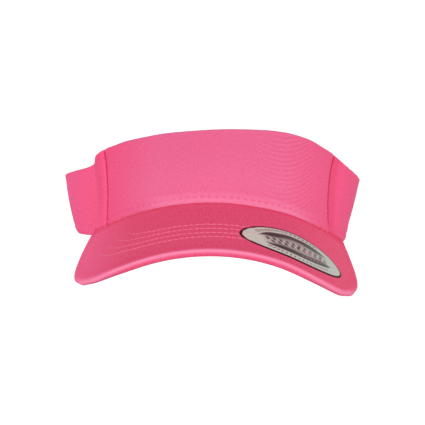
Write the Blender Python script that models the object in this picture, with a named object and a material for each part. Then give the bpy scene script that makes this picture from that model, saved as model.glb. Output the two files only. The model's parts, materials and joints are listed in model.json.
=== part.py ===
# Sun visor (open-crown cap): curved brim, fabric headband in three panels,
# sweatband inside, hook-and-loop closure at the back.
#
# Frame: metres, +Z up.  -Y is the front (the brim), +X is the wearer's left.
# The origin is the bottom centre of the whole object's bounding box.
# Working units below are millimetres on a plane through the headband's
# lower edge; place() moves every point into the final frame.

import math

import bmesh
import bpy
import numpy as np
from mathutils import Vector

for old in list(bpy.data.objects):
    bpy.data.objects.remove(old, do_unlink=True)

# ------------------------------------------------------------------ dimensions
MM = 0.001
SHIFT = (0.0, 34.63, 27.86)   # from the working frame to the final one
WORLD = (0.0, 0.0, 0.0)       # default object origin

# headband plan (outer face, lower edge)
FRONT_Y = -101.0         # front centre
WIDE_Y = 5.0             # station of the greatest width
WIDE_X = 83.3            # half width there
BACK_Y = 100.0           # back centre
HINGE_Y = -45.0          # flex lines of the arms, and centre of the back arc
BACK_ARC_X = 42.0        # half width of the circular arc at the back
ARC_R = BACK_Y - HINGE_Y
FRONT_REACH = WIDE_Y - FRONT_Y   # front half of the plan is a half ellipse
WIDE_PULL = 30.0         # Bezier handles of the curve joining ellipse and arc
ARC_PULL = 45.0

SEAM_X = 65.9            # side seams
ROOT_X = 73.4            # rear ends of the brim's root

# headband height
TOP_FRONT = 64.4
TOP_SEAM = 51.0
TOP_ROOT = 42.5
TOP_WIDE = 36.4
TOP_REAR = 31.0
STRAP_TOP = 27.5
STRAP_BOTTOM = 1.5

# headband section at: front, seam, root, widest, start of back arc, back
LEAN_BACK = 0.09
LEANS = (-0.043, 0.037, 0.124, 0.205, LEAN_BACK, LEAN_BACK)  # outward mm per mm of height
FULLNESS = (1.2, -0.6, -0.3, 0.2, 0.0, 0.0)                  # outward bulge at mid height

# brim mid-surface z = BRIM_Z + BRIM_PITCH*(y-FRONT_Y) - ARCH2*x^2 - ARCH4*x^4
BRIM_Z = 21.8
BRIM_PITCH = 0.352
ARCH2 = 0.00584
ARCH4 = 0.287e-6
BRIM_LENGTH = 74.8       # along the slope, at the centre
BRIM_HALF = 81.1         # widest half width
BRIM_T = 4.0             # finished thickness at the edge
BOARD_T = 1.8
COVER_T = 0.8
COVER_TOP = BRIM_T / 2   # outer faces of the covers, from the mid-surface
EDGE_WRAP = 0.55         # upper cover's reach beyond the brim outline
GAP = 0.3                # clearance between layers


def behind(layer, thickness):
    """The next layer inward, one gap behind the given one."""
    return layer[0] + layer[1] + GAP, thickness


# layers of the band: (depth of the outward face behind the band's face, thickness)
TWILL = (0.0, 0.8)
SIDE_LINING = behind(TWILL, TWILL[1])
INTERLINING = behind(TWILL, 0.8)
LINING = behind(INTERLINING, 0.6)
SEAM_TAPE = behind(LINING, 0.5)
FOAM = behind(SEAM_TAPE, 1.8)
SWEATBAND = behind(FOAM, 0.6)

SWEAT_H = 31.0           # sweatband height
SWEAT_DROP = 3.0         # least distance of its top below the band's top
TAPE_REACH = 6.0         # seam tape, each way from the seam
FLEX_GAP = 2.6           # clearance at each flex line

# closure; x pairs are (root, tip), positive towards the arm the piece is sewn to
DIVE = 4.2               # how far the loop side steps inward to run under the strap
STRAP_T = 1.3
PILE_T = 0.8
STRAP_X = (29.0, -21.0)
LOOP_TAB_X = (STRAP_X[0] - 0.7, -21.0)
HOOK_TAPE_X = (16.0, -18.5)
LOOP_TAPE_X = (39.5, -18.5)
STRAP_MARGIN = 0.5       # strap edges inside STRAP_BOTTOM and STRAP_TOP
TAPE_INSET = 1.5         # tape edges inside the strap's
TIP_R = 9.0              # corner radius of the strap's tip
STRAP = (0.0, STRAP_T)
HOOK_TAPE = behind(STRAP, PILE_T)
LOOP_TAB = (DIVE, STRAP_T)
LOOP_TAPE = (DIVE - GAP - PILE_T, PILE_T)

# thread
STITCH_R = 0.27
BAND_STITCH_LIFT = GAP + STITCH_R + 0.08    # thread centre outside the band
STRAP_STITCH_LIFT = GAP + STITCH_R + 0.05   # thread centre off the strap or tab
SWEAT_STITCH_Z = 3.4                        # row height above the band's lower edge
STRAP_STITCH_Z = (5.5, 23.5)                # sewn rectangles on the closure
STRAP_STITCH_CORNER = 2.0
STITCH_INSETS = (38.0, 31.5, 25.0, 18.5)    # brim rows, from the brim's edge

# oval sticker on the brim
STICKER_C = (42.0, -131.0)
STICKER_A = 33.5         # half length
STICKER_B = 20.5         # half width
STICKER_TILT = math.radians(28.0)
STICKER_T = 0.4

LABEL_W = 22.0
LABEL_H = 17.0
LABEL_T = 0.4


# ------------------------------------------------------------------ curves
def smooth(t):
    t = np.clip(t, 0.0, 1.0)
    return t * t * (3 - 2 * t)


def unit(v):
    return v / np.linalg.norm(v, axis=-1, keepdims=True)


def sign(s):
    """Side of a signed position: +1 on the left and at the centre, -1 on the right."""
    return np.where(np.asarray(s) < 0, -1.0, 1.0)


def running_length(x, y):
    return np.r_[0, np.cumsum(np.hypot(np.diff(x), np.diff(y)))]


def monotone(knots, values):
    """Smooth curve through knots that never overshoots between them."""
    t = np.asarray(knots, float)
    y = np.asarray(values, float)
    h = np.diff(t)
    rise = np.diff(y) / h
    slope = np.zeros(len(t))
    for i in range(1, len(t) - 1):
        if rise[i - 1] * rise[i] > 0:
            w1 = 2 * h[i] + h[i - 1]
            w2 = h[i] + 2 * h[i - 1]
            slope[i] = (w1 + w2) / (w1 / rise[i - 1] + w2 / rise[i])

    def curve(q):
        q = np.clip(np.asarray(q, float), t[0], t[-1])
        i = np.clip(np.searchsorted(t, q, side="right") - 1, 0, len(t) - 2)
        u = (q - t[i]) / h[i]
        return ((2 * u**3 - 3 * u * u + 1) * y[i]
                + (u**3 - 2 * u * u + u) * h[i] * slope[i]
                + (-2 * u**3 + 3 * u * u) * y[i + 1]
                + (u**3 - u * u) * h[i] * slope[i + 1])
    return curve


def cubic(knots, values, start_slope):
    """Cubic spline with a given slope at the start, natural at the end."""
    t = np.asarray(knots, float)
    y = np.asarray(values, float)
    n = len(t)
    h = np.diff(t)
    rise = np.diff(y) / h
    matrix = np.zeros((n, n))
    rhs = np.zeros(n)
    matrix[0, :2] = 2 * h[0], h[0]
    rhs[0] = 6 * (rise[0] - start_slope)
    matrix[-1, -1] = 1
    for i in range(1, n - 1):
        matrix[i, i - 1:i + 2] = h[i - 1], 2 * (h[i - 1] + h[i]), h[i]
        rhs[i] = 6 * (rise[i] - rise[i - 1])
    bend = np.linalg.solve(matrix, rhs)     # second derivatives at the knots

    def curve(q):
        q = np.clip(np.asarray(q, float), t[0], t[-1])
        i = np.clip(np.searchsorted(t, q, side="right") - 1, 0, n - 2)
        left = t[i + 1] - q
        done = q - t[i]
        hi = h[i]
        return (bend[i] * left**3 / (6 * hi) + bend[i + 1] * done**3 / (6 * hi)
                + (y[i] / hi - bend[i] * hi / 6) * left
                + (y[i + 1] / hi - bend[i + 1] * hi / 6) * done)
    return curve


# ------------------------------------------------------------------ headband
ELLIPSE_POINTS = 240


def half_plan():
    """Left half of the plan: quarter ellipse, Bezier curve, circular arc."""
    th = np.linspace(0, math.pi / 2, ELLIPSE_POINTS)
    ellipse = np.stack([WIDE_X * np.sin(th), WIDE_Y - FRONT_REACH * np.cos(th)], -1)
    ang = math.asin(BACK_ARC_X / ARC_R)
    p0 = np.array([WIDE_X, WIDE_Y])
    p1 = p0 + np.array([0, WIDE_PULL])
    p3 = np.array([BACK_ARC_X, HINGE_Y + ARC_R * math.cos(ang)])
    p2 = p3 - np.array([-math.cos(ang), math.sin(ang)]) * ARC_PULL
    u = np.linspace(0, 1, 200)[1:, None]
    bezier = (1 - u)**3 * p0 + 3 * (1 - u)**2 * u * p1 + 3 * (1 - u) * u * u * p2 + u**3 * p3
    al = np.linspace(ang, 0, 90)[1:]
    arc = np.stack([ARC_R * np.sin(al), HINGE_Y + ARC_R * np.cos(al)], -1)
    return np.vstack([ellipse, bezier, arc])


PLAN = half_plan()
PLAN_S = running_length(PLAN[:, 0], PLAN[:, 1])


def s_of_front_x(x):
    return float(np.interp(x, PLAN[:ELLIPSE_POINTS, 0], PLAN_S[:ELLIPSE_POINTS]))


def s_of_back_x(x):
    """Arc position of a point near the back; negative x crosses the centre."""
    return S_BACK - ARC_R * np.arcsin(x / ARC_R)


# stations (S_...) are arc lengths along the plan from the front centre
S_BACK = float(PLAN_S[-1])
S_SEAM = s_of_front_x(SEAM_X)
S_ROOT = s_of_front_x(ROOT_X)
S_WIDE = float(PLAN_S[ELLIPSE_POINTS - 1])
S_ARC = s_of_back_x(BACK_ARC_X)
S_FORE_END = S_ROOT + 0.9                # the flex gap opens here
S_REAR_START = S_FORE_END + FLEX_GAP
S_STRAP_ROOT = s_of_back_x(STRAP_X[0])
S_PANEL_END = S_STRAP_ROOT - 1.0
S_SWEAT_END = S_ARC - 30.0
S_LABEL = S_WIDE + 30.0

SECTION_S = (0, S_SEAM, S_ROOT, S_WIDE, S_ARC, S_BACK)
lean = monotone(SECTION_S, LEANS)
fullness = monotone(SECTION_S, FULLNESS)
top_edge = monotone(*zip(                # (station, height)
    (0, TOP_FRONT), (S_SEAM * 0.35, TOP_FRONT - 1.1), (S_SEAM * 0.72, TOP_FRONT - 5.8),
    (S_SEAM, TOP_SEAM), (S_ROOT + 4, TOP_ROOT), (S_WIDE - 6, TOP_WIDE),
    (S_ARC - 25, TOP_REAR), (S_ARC - 4, STRAP_TOP), (S_BACK, STRAP_TOP)))


def plan_xy(s):
    """Plan position at station s on the +X side."""
    al = (S_BACK - s) / ARC_R
    on_arc = s > S_ARC
    x = np.where(on_arc, ARC_R * np.sin(al), np.interp(s, PLAN_S, PLAN[:, 0]))
    y = np.where(on_arc, HINGE_Y + ARC_R * np.cos(al), np.interp(s, PLAN_S, PLAN[:, 1]))
    return x, y


def plan_normal(s):
    x0, y0 = plan_xy(np.maximum(s - 1.0, 0.0))
    x1, y1 = plan_xy(s + 1.0)
    length = np.hypot(x1 - x0, y1 - y0)
    return (y1 - y0) / length, (x0 - x1) / length


def brim_z(x, y):
    return BRIM_Z + BRIM_PITCH * (y - FRONT_Y) - ARCH2 * x * x - ARCH4 * x**4


def bottom_edge(s):
    """Lower edge of the band: follows the brim root, then runs level."""
    return brim_z(*plan_xy(s)) * (1 - smooth((s - (S_ROOT - 3)) / 14.0))


def rear_bottom(s):
    """Lower edge of the rear panels: level, rising to the strap's edge."""
    return STRAP_BOTTOM * smooth((s - (S_ARC - 22.0)) / 20.0)


def level_bottom(_s):
    return 0.0


def front_sweat_top(s):
    return np.minimum(bottom_edge(s) + SWEAT_H, top_edge(s) - SWEAT_DROP)


def rear_sweat_top(s):
    return np.minimum(SWEAT_H, top_edge(s) - SWEAT_DROP)


def band(s, z, depth):
    """Point on the band at height z, depth behind the outer face.
    s is a signed station, negative on the wearer's right."""
    side = sign(s)
    s = np.abs(s)
    x, y = plan_xy(s)
    nx, ny = plan_normal(s)
    low = bottom_edge(s)
    v = np.clip((z - low) / (top_edge(s) - low), 0, 1)
    off = lean(s) * (z - low) + fullness(s) * 4 * v * (1 - v) - depth
    return np.stack([side * (x + nx * off), y + ny * off, z + 0 * off], -1)


def place(p):
    return (np.asarray(p, float) + SHIFT) * MM


# ------------------------------------------------------------------ solids
def finish(name, bm, mat, origin=WORLD):
    bmesh.ops.recalc_face_normals(bm, faces=bm.faces)
    if bm.calc_volume(signed=True) < 0:
        bmesh.ops.reverse_faces(bm, faces=bm.faces)
    origin = Vector(origin)
    for v in bm.verts:
        v.co -= origin
    me = bpy.data.meshes.new(name)
    bm.to_mesh(me)
    bm.free()
    me.materials.append(mat)
    me.shade_smooth()
    me.set_sharp_from_angle(angle=math.radians(40))
    ob = bpy.data.objects.new(name, me)
    ob.location = origin
    bpy.context.scene.collection.objects.link(ob)


def add_grid(bm, points):
    return [[bm.verts.new(p) for p in row] for row in place(points)]


def split_quad(bm, a, b, c, d):
    """Two triangles meeting on the diagonal a-c."""
    bm.faces.new((a, b, c))
    bm.faces.new((a, c, d))


def sheet(name, outer, inner, mat, origin=WORLD):
    """Closed solid between two matching grids of points (millimetres)."""
    bm = bmesh.new()
    out = add_grid(bm, outer)
    inn = add_grid(bm, inner)
    n, m = len(out), len(out[0])
    for i in range(n - 1):
        for j in range(m - 1):
            split_quad(bm, out[i][j], out[i + 1][j], out[i + 1][j + 1], out[i][j + 1])
            split_quad(bm, inn[i][j], inn[i][j + 1], inn[i + 1][j + 1], inn[i + 1][j])
    for i in range(n - 1):
        split_quad(bm, out[i][0], inn[i][0], inn[i + 1][0], out[i + 1][0])
        split_quad(bm, out[i][-1], out[i + 1][-1], inn[i + 1][-1], inn[i][-1])
    for j in range(m - 1):
        split_quad(bm, out[0][j], out[0][j + 1], inn[0][j + 1], inn[0][j])
        split_quad(bm, out[-1][j], inn[-1][j], inn[-1][j + 1], out[-1][j + 1])
    finish(name, bm, mat, origin)


def cord(name, path, up, origin=WORLD, closed=False):
    """Four-sided thread along a path; up gives a reference direction per point."""
    if closed:
        along = unit(np.roll(path, -1, 0) - np.roll(path, 1, 0))
    else:
        along = unit(np.gradient(path, axis=0))
    up = unit(up - along * np.sum(up * along, axis=1, keepdims=True))
    across = np.cross(along, up)
    corners = np.stack([path + STITCH_R * d for d in (up, across, -up, -across)], axis=1)
    bm = bmesh.new()
    rings = add_grid(bm, corners)
    n = len(rings)
    for i in range(n if closed else n - 1):
        here, there = rings[i], rings[(i + 1) % n]
        for k in range(4):
            after = (k + 1) % 4
            bm.faces.new((here[k], there[k], there[after], here[after]))
    if not closed:
        bm.faces.new(rings[0])
        bm.faces.new(rings[-1][::-1])
    finish(name, bm, THREAD, origin)


def both_sides(reach, step):
    """Signed stations across the front, from -reach to reach."""
    return np.linspace(-reach, reach, 2 * int(math.ceil(reach / step)) + 1)


def one_side(side, start, end, step):
    return side * np.linspace(start, end, int(math.ceil(abs(end - start) / step)) + 1)


def band_layer(name, stations, edges, trims, layer, mat, rows=3, dive=0.0, origin=WORLD):
    """A layer of the band between a (lower, upper) pair of edge curves, drawn in
    by the (lower, upper) trims.  dive is an inward step near the back."""
    s = stations[:, None]
    arc = np.abs(s)
    low = edges[0](arc) + trims[0]
    high = edges[1](arc) - trims[1]
    z = low + (high - low) * np.linspace(0, 1, rows)
    depth = layer[0] + dive * smooth((arc - (S_ARC - 26.0)) / 22.0)
    sheet(name, band(s, z, depth), band(s, z, depth + layer[1]), mat, origin)


def band_cord(name, s, z, origin=WORLD):
    path = band(s, z, -BAND_STITCH_LIFT)
    cord(name, path, band(s, z, -BAND_STITCH_LIFT - 1.0) - path, origin)


def name_at(base, side):
    return base + ("_left" if side > 0 else "_right")


# ------------------------------------------------------------------ materials
def material(name, rgb, roughness, metallic=0.0):
    m = bpy.data.materials.new(name)
    m.use_nodes = True
    shader = m.node_tree.nodes["Principled BSDF"]
    shader.inputs["Base Color"].default_value = (*rgb, 1.0)
    shader.inputs["Roughness"].default_value = roughness
    shader.inputs["Metallic"].default_value = metallic
    m.diffuse_color = (*rgb, 1.0)
    return m


FRONT_TWILL = material("twill", rgb=(0.85, 0.13, 0.30), roughness=0.9)
SIDE_TWILL = material("twill_side", rgb=(0.84, 0.105, 0.25), roughness=0.9)
COVER_TWILL = material("brim_cover_twill", rgb=(0.80, 0.10, 0.23), roughness=0.88)
UNDER_TWILL = material("brim_under_twill", rgb=(0.78, 0.10, 0.22), roughness=0.9)
BUCKRAM = material("buckram", rgb=(0.86, 0.84, 0.80), roughness=0.95)
LINING_CLOTH = material("lining", rgb=(0.82, 0.14, 0.29), roughness=0.92)
TAPE_CLOTH = material("seam_tape", rgb=(0.80, 0.12, 0.27), roughness=0.9)
FOAM_RUBBER = material("foam", rgb=(0.90, 0.86, 0.78), roughness=0.98)
SWEAT_COTTON = material("sweatband_cotton", rgb=(0.83, 0.13, 0.29), roughness=0.95)
BOARD_PLASTIC = material("brim_board_plastic", rgb=(0.92, 0.92, 0.90), roughness=0.5)
THREAD = material("thread", rgb=(0.86, 0.20, 0.36), roughness=0.6)
FOIL = material("sticker_foil", rgb=(0.56, 0.55, 0.50), roughness=0.3, metallic=0.3)
HOOK_NYLON = material("hook_tape_nylon", rgb=(0.80, 0.10, 0.24), roughness=0.55)
LOOP_NYLON = material("loop_tape_nylon", rgb=(0.82, 0.13, 0.28), roughness=0.95)
SATIN = material("label_satin", rgb=(0.93, 0.93, 0.92), roughness=0.5)

# ------------------------------------------------------------------ fixed front
FULL_BAND = (bottom_edge, top_edge)


def build_front():
    for name, reach, trims, layer, mat in (
            ("front_panel", S_SEAM - 0.25, (0.0, 0.0), TWILL, FRONT_TWILL),
            ("front_interlining", S_SEAM - 1.5, (0.6, 1.5), INTERLINING, BUCKRAM),
            ("front_lining", S_SEAM - 0.8, (0.4, 0.8), LINING, LINING_CLOTH)):
        band_layer(name, both_sides(reach, step=6.0), FULL_BAND, trims, layer, mat, rows=4)
    stations = both_sides(S_FORE_END, step=6.5)
    edges = (bottom_edge, front_sweat_top)
    band_layer("sweatband_foam_front", stations, edges, (0.8, 0.8), FOAM, FOAM_RUBBER)
    band_layer("sweatband_cover_front", stations, edges, (0.4, 0.0), SWEATBAND, SWEAT_COTTON)


def build_side_fore(side):
    """Fixed part of a side panel, from its seam to the flex line."""
    band_layer(name_at("side_panel_fore", side),
               one_side(side, S_SEAM + 0.25, S_FORE_END, step=5.0),
               FULL_BAND, (0.0, 0.0), TWILL, SIDE_TWILL, rows=4)
    band_layer(name_at("side_lining_fore", side),
               one_side(side, S_SEAM + 0.8, S_FORE_END, step=5.0),
               FULL_BAND, (0.4, 0.8), SIDE_LINING, LINING_CLOTH, rows=4)
    band_layer(name_at("seam_tape", side),
               one_side(side, S_SEAM - TAPE_REACH, S_SEAM + TAPE_REACH, step=4.0),
               FULL_BAND, (1.0, 1.2), SEAM_TAPE, TAPE_CLOTH, rows=4)


# ------------------------------------------------------------------ arms
HINGE_DEPTH = 3.0        # flex line behind the band's outer face


def hinge_x():
    s = 0.5 * (S_FORE_END + S_REAR_START)
    return float(plan_xy(s)[0] - plan_normal(s)[0] * HINGE_DEPTH)


HINGE_X = hinge_x()


def arm_origin(side):
    return place((side * HINGE_X, HINGE_Y, 0.0))


def build_arm(side):
    """Rear part of a side, from the flex line back; the right one steps inward."""
    origin = arm_origin(side)
    dive = DIVE if side < 0 else 0.0
    panel = one_side(side, S_REAR_START, S_PANEL_END, step=7.0)
    edges = (rear_bottom, top_edge)
    band_layer(name_at("side_panel_rear", side), panel, edges, (0.0, 0.0), TWILL,
               SIDE_TWILL, dive=dive, origin=origin)
    band_layer(name_at("side_lining_rear", side), panel, edges, (0.4, 0.8), SIDE_LINING,
               LINING_CLOTH, dive=dive, origin=origin)
    edges = (level_bottom, rear_sweat_top)
    band_layer(name_at("sweatband_foam", side),
               one_side(side, S_REAR_START, S_SWEAT_END - 2.0, step=7.0),
               edges, (0.8, 0.8), FOAM, FOAM_RUBBER, origin=origin)
    band_layer(name_at("sweatband_cover", side),
               one_side(side, S_REAR_START, S_SWEAT_END, step=7.0),
               edges, (0.4, 0.0), SWEATBAND, SWEAT_COTTON, origin=origin)


# ------------------------------------------------------------------ closure
def strap_point(s, z, depth, side):
    """Point on the back arc; s may run past the back centre."""
    al = (S_BACK - s) / ARC_R
    r = ARC_R + LEAN_BACK * z - depth
    return np.stack([side * r * np.sin(al), HINGE_Y + r * np.cos(al), z], -1)


def strap_layer(name, x_span, layer, mat, side, inset, origin):
    """Strip round the back whose corners draw in at the tip."""
    root, tip = (s_of_back_x(x) for x in x_span)
    s = np.linspace(root, tip, int(math.ceil((tip - root) / 6.0)) + 1)
    s = np.r_[s[s < tip - TIP_R], tip - TIP_R * np.array([1.0, 0.6, 0.3, 0.12, 0.0])]
    s = s[:, None]
    r = TIP_R - inset
    t = np.clip((s - (tip - r)) / r, 0, 0.985)
    margin = STRAP_MARGIN + inset + r * (1 - np.sqrt(1 - t * t))
    low = STRAP_BOTTOM + margin
    high = STRAP_TOP - margin
    z = low + (high - low) * np.linspace(0, 1, 3)
    depth, thickness = layer
    sheet(name, strap_point(s, z, depth, side), strap_point(s, z, depth + thickness, side),
          mat, origin)


def strap_stitching(name, x_root, x_tip, depth, side, origin):
    """One closed cord round a sewn rectangle on the strap or the tab."""
    z_low, z_high = STRAP_STITCH_Z
    corner = STRAP_STITCH_CORNER
    xs = np.linspace(x_root - corner, x_tip + corner, 9)
    zs = np.linspace(z_low + corner, z_high - corner, 4)
    s = s_of_back_x(np.r_[xs, np.full(4, x_tip), xs[::-1], np.full(4, x_root)])
    z = np.r_[np.full(9, z_low), zs, np.full(9, z_high), zs[::-1]]
    path = strap_point(s, z, depth, side)
    cord(name, path, strap_point(s, z, depth - 1.0, side) - path, origin, closed=True)


def build_hook_strap():
    """Strap from the left arm, hook tape on its inner face."""
    origin = place(strap_point(S_STRAP_ROOT - 0.5, 14.0, 0.0, 1))
    strap_layer("hook_strap", STRAP_X, STRAP, SIDE_TWILL, 1, 0.0, origin)
    strap_layer("hook_tape", HOOK_TAPE_X, HOOK_TAPE, HOOK_NYLON, 1, TAPE_INSET, origin)
    strap_stitching("hook_tape_stitching", HOOK_TAPE_X[0] - 1.5, HOOK_TAPE_X[1] + 2.5,
                    -STRAP_STITCH_LIFT, 1, origin)


def build_loop_tab():
    """Tab from the right arm under the strap, loop tape on its outer face."""
    origin = arm_origin(-1)
    strap_layer("loop_tab", LOOP_TAB_X, LOOP_TAB, SIDE_TWILL, -1, 0.0, origin)
    strap_layer("loop_tape", LOOP_TAPE_X, LOOP_TAPE, LOOP_NYLON, -1, TAPE_INSET, origin)
    strap_stitching("loop_tape_stitching", STRAP_X[0] - 4.0, LOOP_TAPE_X[1] + 2.5,
                    sum(LOOP_TAB) + STRAP_STITCH_LIFT, -1, origin)


# ------------------------------------------------------------------ brim
def brim_outline():
    """Left half of the brim's edge as x, y samples, front centre first."""
    tip_y = FRONT_Y - BRIM_LENGTH * math.cos(math.atan(BRIM_PITCH))
    root_y = WIDE_Y - FRONT_REACH * math.sqrt(1 - (ROOT_X / WIDE_X)**2)
    px, py = zip(                        # (x, y)
        (0, tip_y), (50.36, tip_y + 14.1), (BRIM_HALF, FRONT_Y + 12.8),
        (BRIM_HALF - 0.3, FRONT_Y + 40.2), (ROOT_X, root_y))
    chord = running_length(px, py)
    q = np.linspace(0, chord[-1], 400)
    return cubic(chord, px, 1.0)(q), cubic(chord, py, 0.0)(q)


EDGE_X, EDGE_Y = brim_outline()
EDGE_S = running_length(EDGE_X, EDGE_Y)
EDGE_LENGTH = float(EDGE_S[-1])


def edge_xy(a):
    a = np.clip(a, 0, EDGE_LENGTH)
    return np.interp(a, EDGE_S, EDGE_X), np.interp(a, EDGE_S, EDGE_Y)


def edge_line(u):
    """Brim edge point and outward normal at |u| in 0..1 from the front centre;
    the sign of u gives the side."""
    a = np.abs(u) * EDGE_LENGTH
    x, y = edge_xy(a)
    x0, y0 = edge_xy(a - 1)
    x1, y1 = edge_xy(a + 1)
    length = np.hypot(x1 - x0, y1 - y0)
    return (np.stack([sign(u) * x, y], -1),
            np.stack([sign(u) * (y1 - y0) / length, (x0 - x1) / length], -1))


def root_line(u):
    """Brim root point and outward normal, u as for edge_line."""
    a = np.abs(u) * S_ROOT
    x, y = plan_xy(a)
    nx, ny = plan_normal(a)
    return np.stack([sign(u) * x, y], -1), np.stack([sign(u) * nx, ny], -1)


def fan(u, root_inset, edge_inset):
    """Line across the brim at station u: its root point and direction, and the
    distances along it where it clears the root and the edge."""
    edge, edge_normal = edge_line(u)
    root, root_normal = root_line(u)
    length = np.linalg.norm(edge - root)
    direction = (edge - root) / length
    start = root_inset / max(direction @ root_normal, 0.45)
    end = length - edge_inset / max(direction @ edge_normal, 0.45)
    return root, direction, start, end


def brim_normal(x, y):
    return unit(np.stack([2 * ARCH2 * x + 4 * ARCH4 * x**3, -BRIM_PITCH + 0 * y, 1 + 0 * x],
                         -1))


def brim_point(xy, height):
    """Point at a height off the brim's mid-surface, along its normal."""
    x, y = xy[..., 0], xy[..., 1]
    p = np.stack([x, y, brim_z(x, y)], -1)
    return p + brim_normal(x, y) * np.asarray(height, float)[..., None]


def brim_layer(name, mat, chain, u_end=0.955):
    """chain(u) gives matching outer and inner point rows for one station.
    The stations lie closer together at the corners."""
    t = np.linspace(-1, 1, 45)
    us = u_end * (t * 0.72 + 0.28 * np.sin(t * math.pi / 2))
    outer, inner = zip(*[chain(float(u)) for u in us])
    sheet(name, outer, inner, mat)


def board_chain(u):
    root, direction, a, b = fan(u, 6.6, 1.4)
    xy = root + direction * np.linspace(a, max(b, a + 0.6), 5)[:, None]
    return brim_point(xy, BOARD_T / 2), brim_point(xy, -BOARD_T / 2)


def upper_chain(u):
    """Dips towards the root, and turns down over the edge at the far end."""
    root, direction, a, b = fan(u, 0.9, 0.0)
    b += EDGE_WRAP
    zone = min(5.0, 0.3 * (b - a))       # width of the dip
    near = a + zone * np.array([0.0, 0.3, 0.65, 1.0])
    fall = np.array([1.0, 0.72, 0.2, 0.0]) * 1.3 * zone / 5.0
    far = a + zone + (b - 2.0 - a - zone) * np.array([0.33, 0.66, 1.0])
    inner_top = COVER_TOP - COVER_T
    q_out = np.r_[near, far, b - 0.5, b, b]
    h_out = np.r_[COVER_TOP - fall, np.full(3, COVER_TOP), COVER_TOP - 0.35,
                  COVER_TOP - 1.5, -COVER_TOP]
    q_in = np.r_[near, far, b - 1.1, b - COVER_T, b - COVER_T]
    h_in = np.r_[inner_top - fall, np.full(3, inner_top), inner_top - 0.05,
                 inner_top - 0.55, -COVER_TOP]
    return (brim_point(root + direction * q_out[:, None], h_out),
            brim_point(root + direction * q_in[:, None], h_in))


def lower_chain(u):
    root, direction, a, b = fan(u, 1.4, 0.0)
    xy = root + direction * np.linspace(a, b + EDGE_WRAP - COVER_T - GAP, 6)[:, None]
    return brim_point(xy, COVER_T - COVER_TOP), brim_point(xy, -COVER_TOP)


def build_brim():
    brim_layer("brim_board", BOARD_PLASTIC, board_chain, u_end=0.93)
    brim_layer("brim_upper_cover", COVER_TWILL, upper_chain)
    brim_layer("brim_lower_cover", UNDER_TWILL, lower_chain)


def build_brim_stitching():
    """Rows of topstitching parallel to the brim's edge, stopping short of the band."""
    band_clearance = 7.0
    edge, normal = edge_line(np.linspace(-0.97, 0.97, 121))
    for k, inset in enumerate(STITCH_INSETS):
        x, y = (edge - normal * inset).T
        rel = ((x / (WIDE_X + band_clearance))**2
               + ((y - WIDE_Y) / (FRONT_REACH + band_clearance))**2)
        kept = np.where((rel > 1.0) & (y < WIDE_Y - 40))[0]
        x = x[kept.min():kept.max() + 1]
        y = y[kept.min():kept.max() + 1]
        run = running_length(x, y)
        q = np.linspace(0, run[-1], 41)
        line = np.stack([np.interp(q, run, x), np.interp(q, run, y)], -1)
        cord("brim_stitch_row_%d" % (k + 1), brim_point(line, COVER_TOP + GAP + STITCH_R),
             brim_normal(line[:, 0], line[:, 1]))


# ------------------------------------------------------------------ sticker
def sticker_grid(height):
    """Oval disc as rings round a small centre ring, laid on the brim."""
    ca, sa = math.cos(STICKER_TILT), math.sin(STICKER_TILT)
    th = np.linspace(0, 2 * math.pi, 33)[:-1]
    scale = np.array([0.04, 0.36, 0.68, 1.0])[:, None]
    u = STICKER_A * scale * np.cos(th)
    v = STICKER_B * scale * np.sin(th)
    xy = np.stack([STICKER_C[0] + u * ca - v * sa, STICKER_C[1] + u * sa + v * ca], -1)
    return brim_point(xy, height)


def build_sticker():
    # it lies over the stitching, so it clears the threads
    lift = COVER_TOP + 2 * GAP + 2 * STITCH_R + 0.1
    bm = bmesh.new()
    top = add_grid(bm, sticker_grid(lift + STICKER_T))
    bottom = add_grid(bm, sticker_grid(lift))
    for j in range(len(top[0])):
        k = (j + 1) % len(top[0])
        for i in range(len(top) - 1):
            split_quad(bm, top[i][j], top[i + 1][j], top[i + 1][k], top[i][k])
            split_quad(bm, bottom[i][j], bottom[i][k], bottom[i + 1][k], bottom[i + 1][j])
        bm.faces.new((top[-1][j], bottom[-1][j], bottom[-1][k], top[-1][k]))
    bm.faces.new(top[0])
    bm.faces.new(bottom[0][::-1])
    finish("brim_sticker", bm, FOIL)


# ------------------------------------------------------------------ band stitching
def build_front_stitching():
    s = np.linspace(-(S_SEAM - 1.5), S_SEAM - 1.5, 47)
    band_cord("sweatband_stitching", s, bottom_edge(np.abs(s)) + SWEAT_STITCH_Z)


def build_side_stitching(side):
    """Upright row behind the seam, and the sweatband row along the arm."""
    s = S_SEAM + 2.4
    z = np.linspace(float(bottom_edge(s)) + 2.0, float(top_edge(s)) - 1.5, 9)
    band_cord(name_at("seam_topstitch", side), np.full(9, side * s), z)
    s = side * np.linspace(S_REAR_START + 2.0, S_ARC - 34.0, 26)
    band_cord(name_at("sweatband_stitching", side), s, SWEAT_STITCH_Z, arm_origin(side))


# ------------------------------------------------------------------ care label
def build_care_label():
    """Small blank label hanging near the sweatband's top edge, wearer's left.
    It is flat: it spans the chord between its two side edges."""
    s = S_LABEL + np.array([-LABEL_W / 2, LABEL_W / 2])
    z_high = float(rear_sweat_top(s[1])) - 1.0
    depth = sum(SWEATBAND) + 0.9
    low = band(s, z_high - LABEL_H, depth)
    high = band(s, z_high, depth)
    inward = unit(np.cross(high[0] - low[0], high[1] - high[0]))
    face = np.stack([low, high], axis=1)
    pivot = high.mean(axis=0) + inward * LABEL_T / 2
    sheet("care_label", face, face + inward * LABEL_T, SATIN, place(pivot))


# ------------------------------------------------------------------ assembly
build_front()
build_front_stitching()
for wearer_side in (1, -1):
    build_side_fore(wearer_side)
    build_arm(wearer_side)
    build_side_stitching(wearer_side)
build_hook_strap()
build_loop_tab()
build_brim()
build_brim_stitching()
build_sticker()
build_care_label()
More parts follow.
